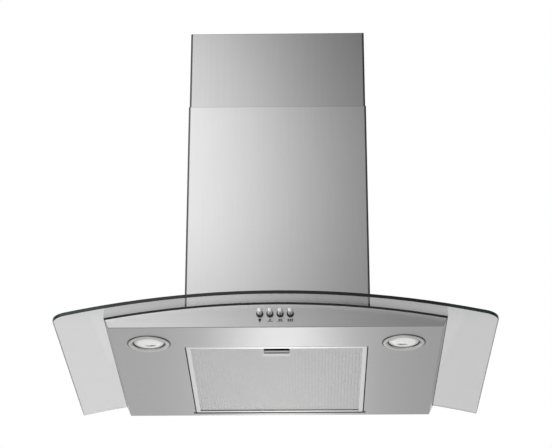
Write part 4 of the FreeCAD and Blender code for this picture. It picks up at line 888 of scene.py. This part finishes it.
def moulded(name, tint, roughness, grain_size=0.0006, depth=skin_depth, dust=0.15, **constants):
    """Moulded plastic or rubber with a fine grain and a slow change of tone."""
    tree, shader = finish(name, tint, 0.0, roughness, **constants)
    grain = noise(tree, 1 / grain_size)
    slow = noise(tree, 45.0, 3.0)
    light = tuple(min(1.0, c * (1 + dust) + dust * dust_grey) for c in tint)
    rough = spread(tree, grain, *[roughness + step for step in grain_step])
    connect(tree, shader, Base_Color=tone(tree, slow, tint, light), Roughness=rough)
    connect(tree, shader, Normal=bump(tree, grain, depth))


moulded("black_moulding", (0.022, 0.022, 0.023), 0.46)
moulded("grey_moulding", (0.25, 0.26, 0.27), 0.50)
moulded("white_moulding", (0.74, 0.74, 0.71), 0.42, dust=0.04)
moulded("clear_nylon", (0.70, 0.69, 0.63), 0.38, dust=0.05, Subsurface_Weight=0.3)
moulded("black_rubber", (0.018, 0.018, 0.018), 0.70, grain_size=0.0004, dust=0.3)
moulded("wire_sheath", (0.035, 0.035, 0.038), 0.40, grain_size=0.002, depth=0.00004)
moulded("white_board", (0.80, 0.81, 0.79), 0.30, grain_size=0.0015, dust=0.03, Coat_Weight=0.3)
moulded("panel_print", (0.03, 0.03, 0.032), 0.55, grain_size=0.0003, depth=0.00001, dust=0.2)
print("finishes:", sorted(finishes))

# %% [markdown]
# ## Dress the CAD nodes
# Each node keeps its mesh and gets the finish that its piece has on the real hood.

# %% Hand out the finishes
dressing = {
    "brushed_canopy": ["canopy_body"],
    "brushed_cover": ["lower_duct_cover"],
    "brushed_inner_cover": ["upper_duct_cover"],
    "zinc_sheet": [
        "top_plate", "back_plate", "cover_foot_brackets", "ceiling_bracket", "blower_box", "motor_bracket",
        "motor_housing", "capacitor_strap", "lamp_clips", "loom_clips",
    ],
    "zinc_screws": [
        "glass_screws", "cover_screws", "ceiling_screws", "box_screws", "motor_shaft", "motor_bearings",
        "damper_pins", "latch_spring", "button_springs",
    ],
    "canopy_glass": ["glass_canopy"],
    "black_rubber": ["glass_gasket"],
    "clear_nylon": ["glass_washers"],
    "chrome_plate": ["light_button", "low_speed_button", "medium_speed_button", "high_speed_button"],
    "satin_ring": ["left_lamp_trim", "right_lamp_trim"],
    "filter_aluminium": ["filter_frame", "left_lamp_cup", "right_lamp_cup"],
    "latch_aluminium": ["latch_handle"],
    "latch_pocket": ["latch_case"],
    "mesh_aluminium": ["filter_mesh"],
    "frosted_lens": ["left_lamp_lens", "right_lamp_lens"],
    "white_board": ["left_lamp_board", "right_lamp_board"],
    "black_moulding": [
        "switch_block", "terminal_cover", "terminal_box", "cable_gland", "duct_collar",
        "damper_flap_left", "damper_flap_right", "button_bezels",
    ],
    "grey_moulding": ["scroll_housing", "inlet_rings", "impeller"],
    "white_moulding": ["capacitor", "terminal_strip", "led_driver"],
    "motor_iron": ["motor_rotor", "motor_stator"],
    "wire_sheath": ["wiring_loom", "lamp_leads"],
}


def dress(node, material):
    """Makes one material the only one on a CAD node."""
    slots = nodes[node].data.materials
    slots.clear()
    slots.append(material)


for name, members in dressing.items():
    for node in members:
        dress(node, finishes[name])
undressed = set(nodes) - {node for members in dressing.values() for node in members}
print("undressed nodes:", sorted(undressed))

# %% [markdown]
# ## Expanded mesh of the filter
# The face of a grease filter is expanded aluminium: a sheet is slit and pulled, and the strands between the
# slits open into diamonds. A picture of the mesh would be quick, but it goes flat as soon as one looks
# along it. Here each row is one strand, a flat bar that zigzags across the cassette. Neighbouring rows run
# in opposite steps, so their peaks meet, and the strands rise and fall with the folds of the sheet behind
# them. The rows are worked out as one array, and the places where the latch tray stands are left out.

# %% Weave the mesh
mesh_low, mesh_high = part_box("filter_mesh")
bar_tuck = 0.005
rib_count = 50
rib_depth = 0.0005
weave_rise = 0.00085
strand_width = 0.00050
strand_height = 0.00012
strand_gap = 0.00003
tray_margin = 0.0012


def closed_bars(name, rings, kept, material):
    """Bars with four sides. rings is rows x stations x 4 corners x 3, and kept is rows x (stations - 1):
    which spans are there. Each span has four sides, and each end of a run of spans gets a cap."""
    rows, stations, corners = rings.shape[:3]
    corner = np.arange(rows * stations * corners).reshape(rows, stations, corners)
    sides = []
    for i in range(corners):
        j = (i + 1) % corners
        quads = [corner[:, :-1, i], corner[:, :-1, j], corner[:, 1:, j], corner[:, 1:, i]]
        sides.append(np.stack(quads, axis=-1)[kept])
    edge = np.zeros((rows, 1), bool)
    before = np.concatenate([edge, kept], axis=1)
    after = np.concatenate([kept, edge], axis=1)
    starts = corner[after & ~before][:, ::-1]
    ends = corner[before & ~after]
    faces = np.concatenate([*sides, starts, ends])
    used, faces = np.unique(faces, return_inverse=True)
    return new_piece(name, rings.reshape(-1, 3)[used], faces.reshape(-1, corners).tolist(), material)


def weave_strands():
    """Station i of row j lies at x = left + i * half pitch and y = front + j * spacing + or - the rise, where
    the sign alternates with i + j. Its height follows the folds, which are low at even stations and high at
    odd. Returns the corners of the bars, and which of their spans are kept."""
    left, right = mesh_low.x + bar_tuck, mesh_high.x - bar_tuck
    front, rear = mesh_low.y + bar_tuck, mesh_high.y - bar_tuck
    stations = 2 * rib_count + 1
    spacing = 2 * weave_rise
    rows = int((rear - front) / spacing)
    i = np.arange(stations)[None, :]
    j = np.arange(rows)[:, None]
    x = left + i * (right - left) / (stations - 1) + 0 * j
    y = front + spacing * (j + 0.5) + weave_rise * np.where((i + j) % 2, 1, -1)
    z = mesh_low.z + rib_depth * (i % 2) - strand_gap - strand_height / 2 + 0 * j
    middle = np.stack([x, y, z], axis=-1)
    across = np.array([[-1, -1], [1, -1], [1, 1], [-1, 1]]) / 2
    offset = np.stack([0 * across[:, 0], across[:, 0] * strand_width, across[:, 1] * strand_height], axis=-1)
    rings = middle[:, :, None, :] + offset
    centre = (middle[:, 1:] + middle[:, :-1]) / 2
    beside = abs(centre[..., 0]) < tray_high.x + tray_margin
    in_tray = beside & (centre[..., 1] < tray_high.y + tray_margin)
    return rings, ~in_tray


rings, kept = weave_strands()
weave = closed_bars("filter_weave", rings, kept, finishes["mesh_aluminium"])
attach(weave, "filter_cassette")
print("weave rows:", rings.shape[0], "faces:", len(weave.data.polygons))

# %% [markdown]
# ## Latch spring
# The spring behind the filter's pull lip is squeezed when the lip is drawn back. The CAD node is a stiff
# helix, which would push through the end of its pocket, so a coil of the same size stands in for it and
# rides with the latch. It is a round wire carried along a helix, and each ring of the wire stands square
# to its own path.

# %% Wind the latch spring
spring_low, spring_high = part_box("latch_spring")
spring_wire = 0.0004
spring_turns = 6
latch_travel = 0.005


def tube_faces(rings, sides, turned=False):
    """Four-sided faces between each two rings of corners, and a cap on the first ring and on the last. Turned
    faces look the other way."""
    corner = np.arange(rings * sides).reshape(rings, sides)
    after = np.roll(corner, -1, axis=1)
    walls = np.stack([corner[:-1], after[:-1], after[1:], corner[1:]], axis=-1).reshape(-1, 4)
    if turned:
        return walls[:, [0, 3, 2, 1]].tolist() + [corner[0].tolist(), corner[-1][::-1].tolist()]
    return walls.tolist() + [corner[0][::-1].tolist(), corner[-1].tolist()]


def wound_wire(low, high, wire, turns, steps_per_turn=24, sides=10):
    """At angle a the path lies at the axis + R * (cos a, sin a) in x and z, and climbs evenly along y. A ring
    point is the path + wire radius * (cos u * outward + sin u * (path direction x outward)). Returns points
    and faces."""
    axis_x, axis_z = (low.x + high.x) / 2, (low.z + high.z) / 2
    radius = (high.x - low.x - wire) / 2
    angle = np.linspace(0.0, 2 * np.pi * turns, turns * steps_per_turn + 1)
    climb = (high.y - low.y - wire) / angle[-1]
    cosine, sine, zero = np.cos(angle), np.sin(angle), 0 * angle
    along_y = low.y + wire / 2 + climb * angle
    path = np.stack([axis_x + radius * cosine, along_y, axis_z + radius * sine], axis=-1)
    outward = np.stack([cosine, zero, sine], axis=-1)
    along = np.stack([-radius * sine, climb + zero, radius * cosine], axis=-1)
    along /= np.linalg.norm(along, axis=-1, keepdims=True)
    across = np.cross(along, outward)
    u = np.arange(sides)[None, :, None] * 2 * np.pi / sides
    rings = path[:, None] + wire / 2 * (np.cos(u) * outward[:, None] + np.sin(u) * across[:, None])
    return rings.reshape(-1, 3), tube_faces(len(angle), sides)


def make_spring(material):
    """The coil that rides on the latch, in place of the hidden CAD node. Returns the share of its length that
    it would keep with the lip drawn back."""
    points, faces = wound_wire(spring_low, spring_high, spring_wire, spring_turns)
    coil = new_piece("latch_coil", points, faces, material)
    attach(coil, "filter_latch")
    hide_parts("latch_spring")
    kept = 1 - latch_travel / (spring_high.y - spring_low.y)
    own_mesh(coil)
    return kept


print("the spring keeps this share of its length:", round(make_spring(finishes["zinc_screws"]), 3))

# %% [markdown]
# ## Marks under the buttons
# A small dark print under each button says what it does. It could be painted by the panel's material, but a
# print with an edge of its own stays sharp from close by. Plain signs are enough: a lamp under the first
# button, and one, two or three bars on a base line under the three speeds. Each part of a sign is a pad of
# ink, as thick as a coat of paint. It is a superellipse, which is a circle or a rounded bar depending on
# one exponent, carried up a short profile that closes it above and below.

# %% Print the marks
panel_lean = math.radians(7.2)
panel_foot_y = -0.4555
mark_height = 0.0130
ink_thickness = 0.00005
ink_tuck = 0.00002
ink_sides = 32
ink_reach_shares = [0.01, 0.90, 1.00, 1.00, 0.01]
ink_heights = [ink_thickness, ink_thickness, ink_thickness / 2, -ink_tuck, -ink_tuck]
round_power = 2
bar_power = 5
bar_size = (0.0024, 0.0032)
bar_pitch = 0.0034
base_line = (0.0104, 0.0011)
base_line_drop = 0.0025
lamp_disc = 0.0050
lamp_foot = (0.0026, 0.0013)
lamp_foot_drop = 0.0035


def ink_pad(centre_x, centre_up, width, height, power):
    """Point t of a ring lies at centre + reach * (width / 2 * c(t), height / 2 * s(t)) on the panel. There c
    and s are the cosine and sine raised to 2 / power with their sign kept. The profile gives the reach of a
    ring and its height above the panel. Returns points and faces."""
    angle = np.arange(ink_sides) * 2 * np.pi / ink_sides
    cosine, sine = np.cos(angle), np.sin(angle)
    across = np.sign(cosine) * abs(cosine) ** (2 / power) * width / 2
    upward = np.sign(sine) * abs(sine) ** (2 / power) * height / 2
    reach = np.array(ink_reach_shares)[:, None]
    proud = np.array(ink_heights)[:, None]
    x = centre_x + reach * across
    up = centre_up + reach * upward
    y = panel_foot_y - up * math.sin(panel_lean) - proud * math.cos(panel_lean)
    z = body_low.z + up * math.cos(panel_lean) - proud * math.sin(panel_lean)
    return np.stack([x, y, z], axis=-1).reshape(-1, 3), tube_faces(len(reach), ink_sides, turned=True)


def print_marks(material):
    """Joins the pads of all four signs in one piece, which rides on the canopy. Returns their number."""
    pads = []
    for count, node in enumerate(dressing["chrome_plate"]):
        low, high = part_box(node)
        centre = (low.x + high.x) / 2
        if count == 0:
            pads.append(ink_pad(centre, mark_height, lamp_disc, lamp_disc, round_power))
            pads.append(ink_pad(centre, mark_height - lamp_foot_drop, *lamp_foot, bar_power))
        else:
            pads.append(ink_pad(centre, mark_height - base_line_drop, *base_line, bar_power))
        for i in range(count):
            step = (i - (count - 1) / 2) * bar_pitch
            pads.append(ink_pad(centre + step, mark_height, *bar_size, bar_power))
    starts = np.cumsum([0] + [len(points) for points, faces in pads]).tolist()
    points = np.concatenate([points for points, faces in pads])
    faces = [[k + start for k in face] for (_, pad), start in zip(pads, starts) for face in pad]
    marks = new_piece("button_marks", points, faces, material)
    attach(marks, "canopy")
    return len(pads)


print("pads of ink:", print_marks(finishes["panel_print"]))

# %% [markdown]
# ## Colour settings
# The Standard view keeps every tone as it is computed, so a grey in a material is the same grey in the
# picture.

# %% Close the scene
bpy.context.scene.view_settings.view_transform = "Standard"
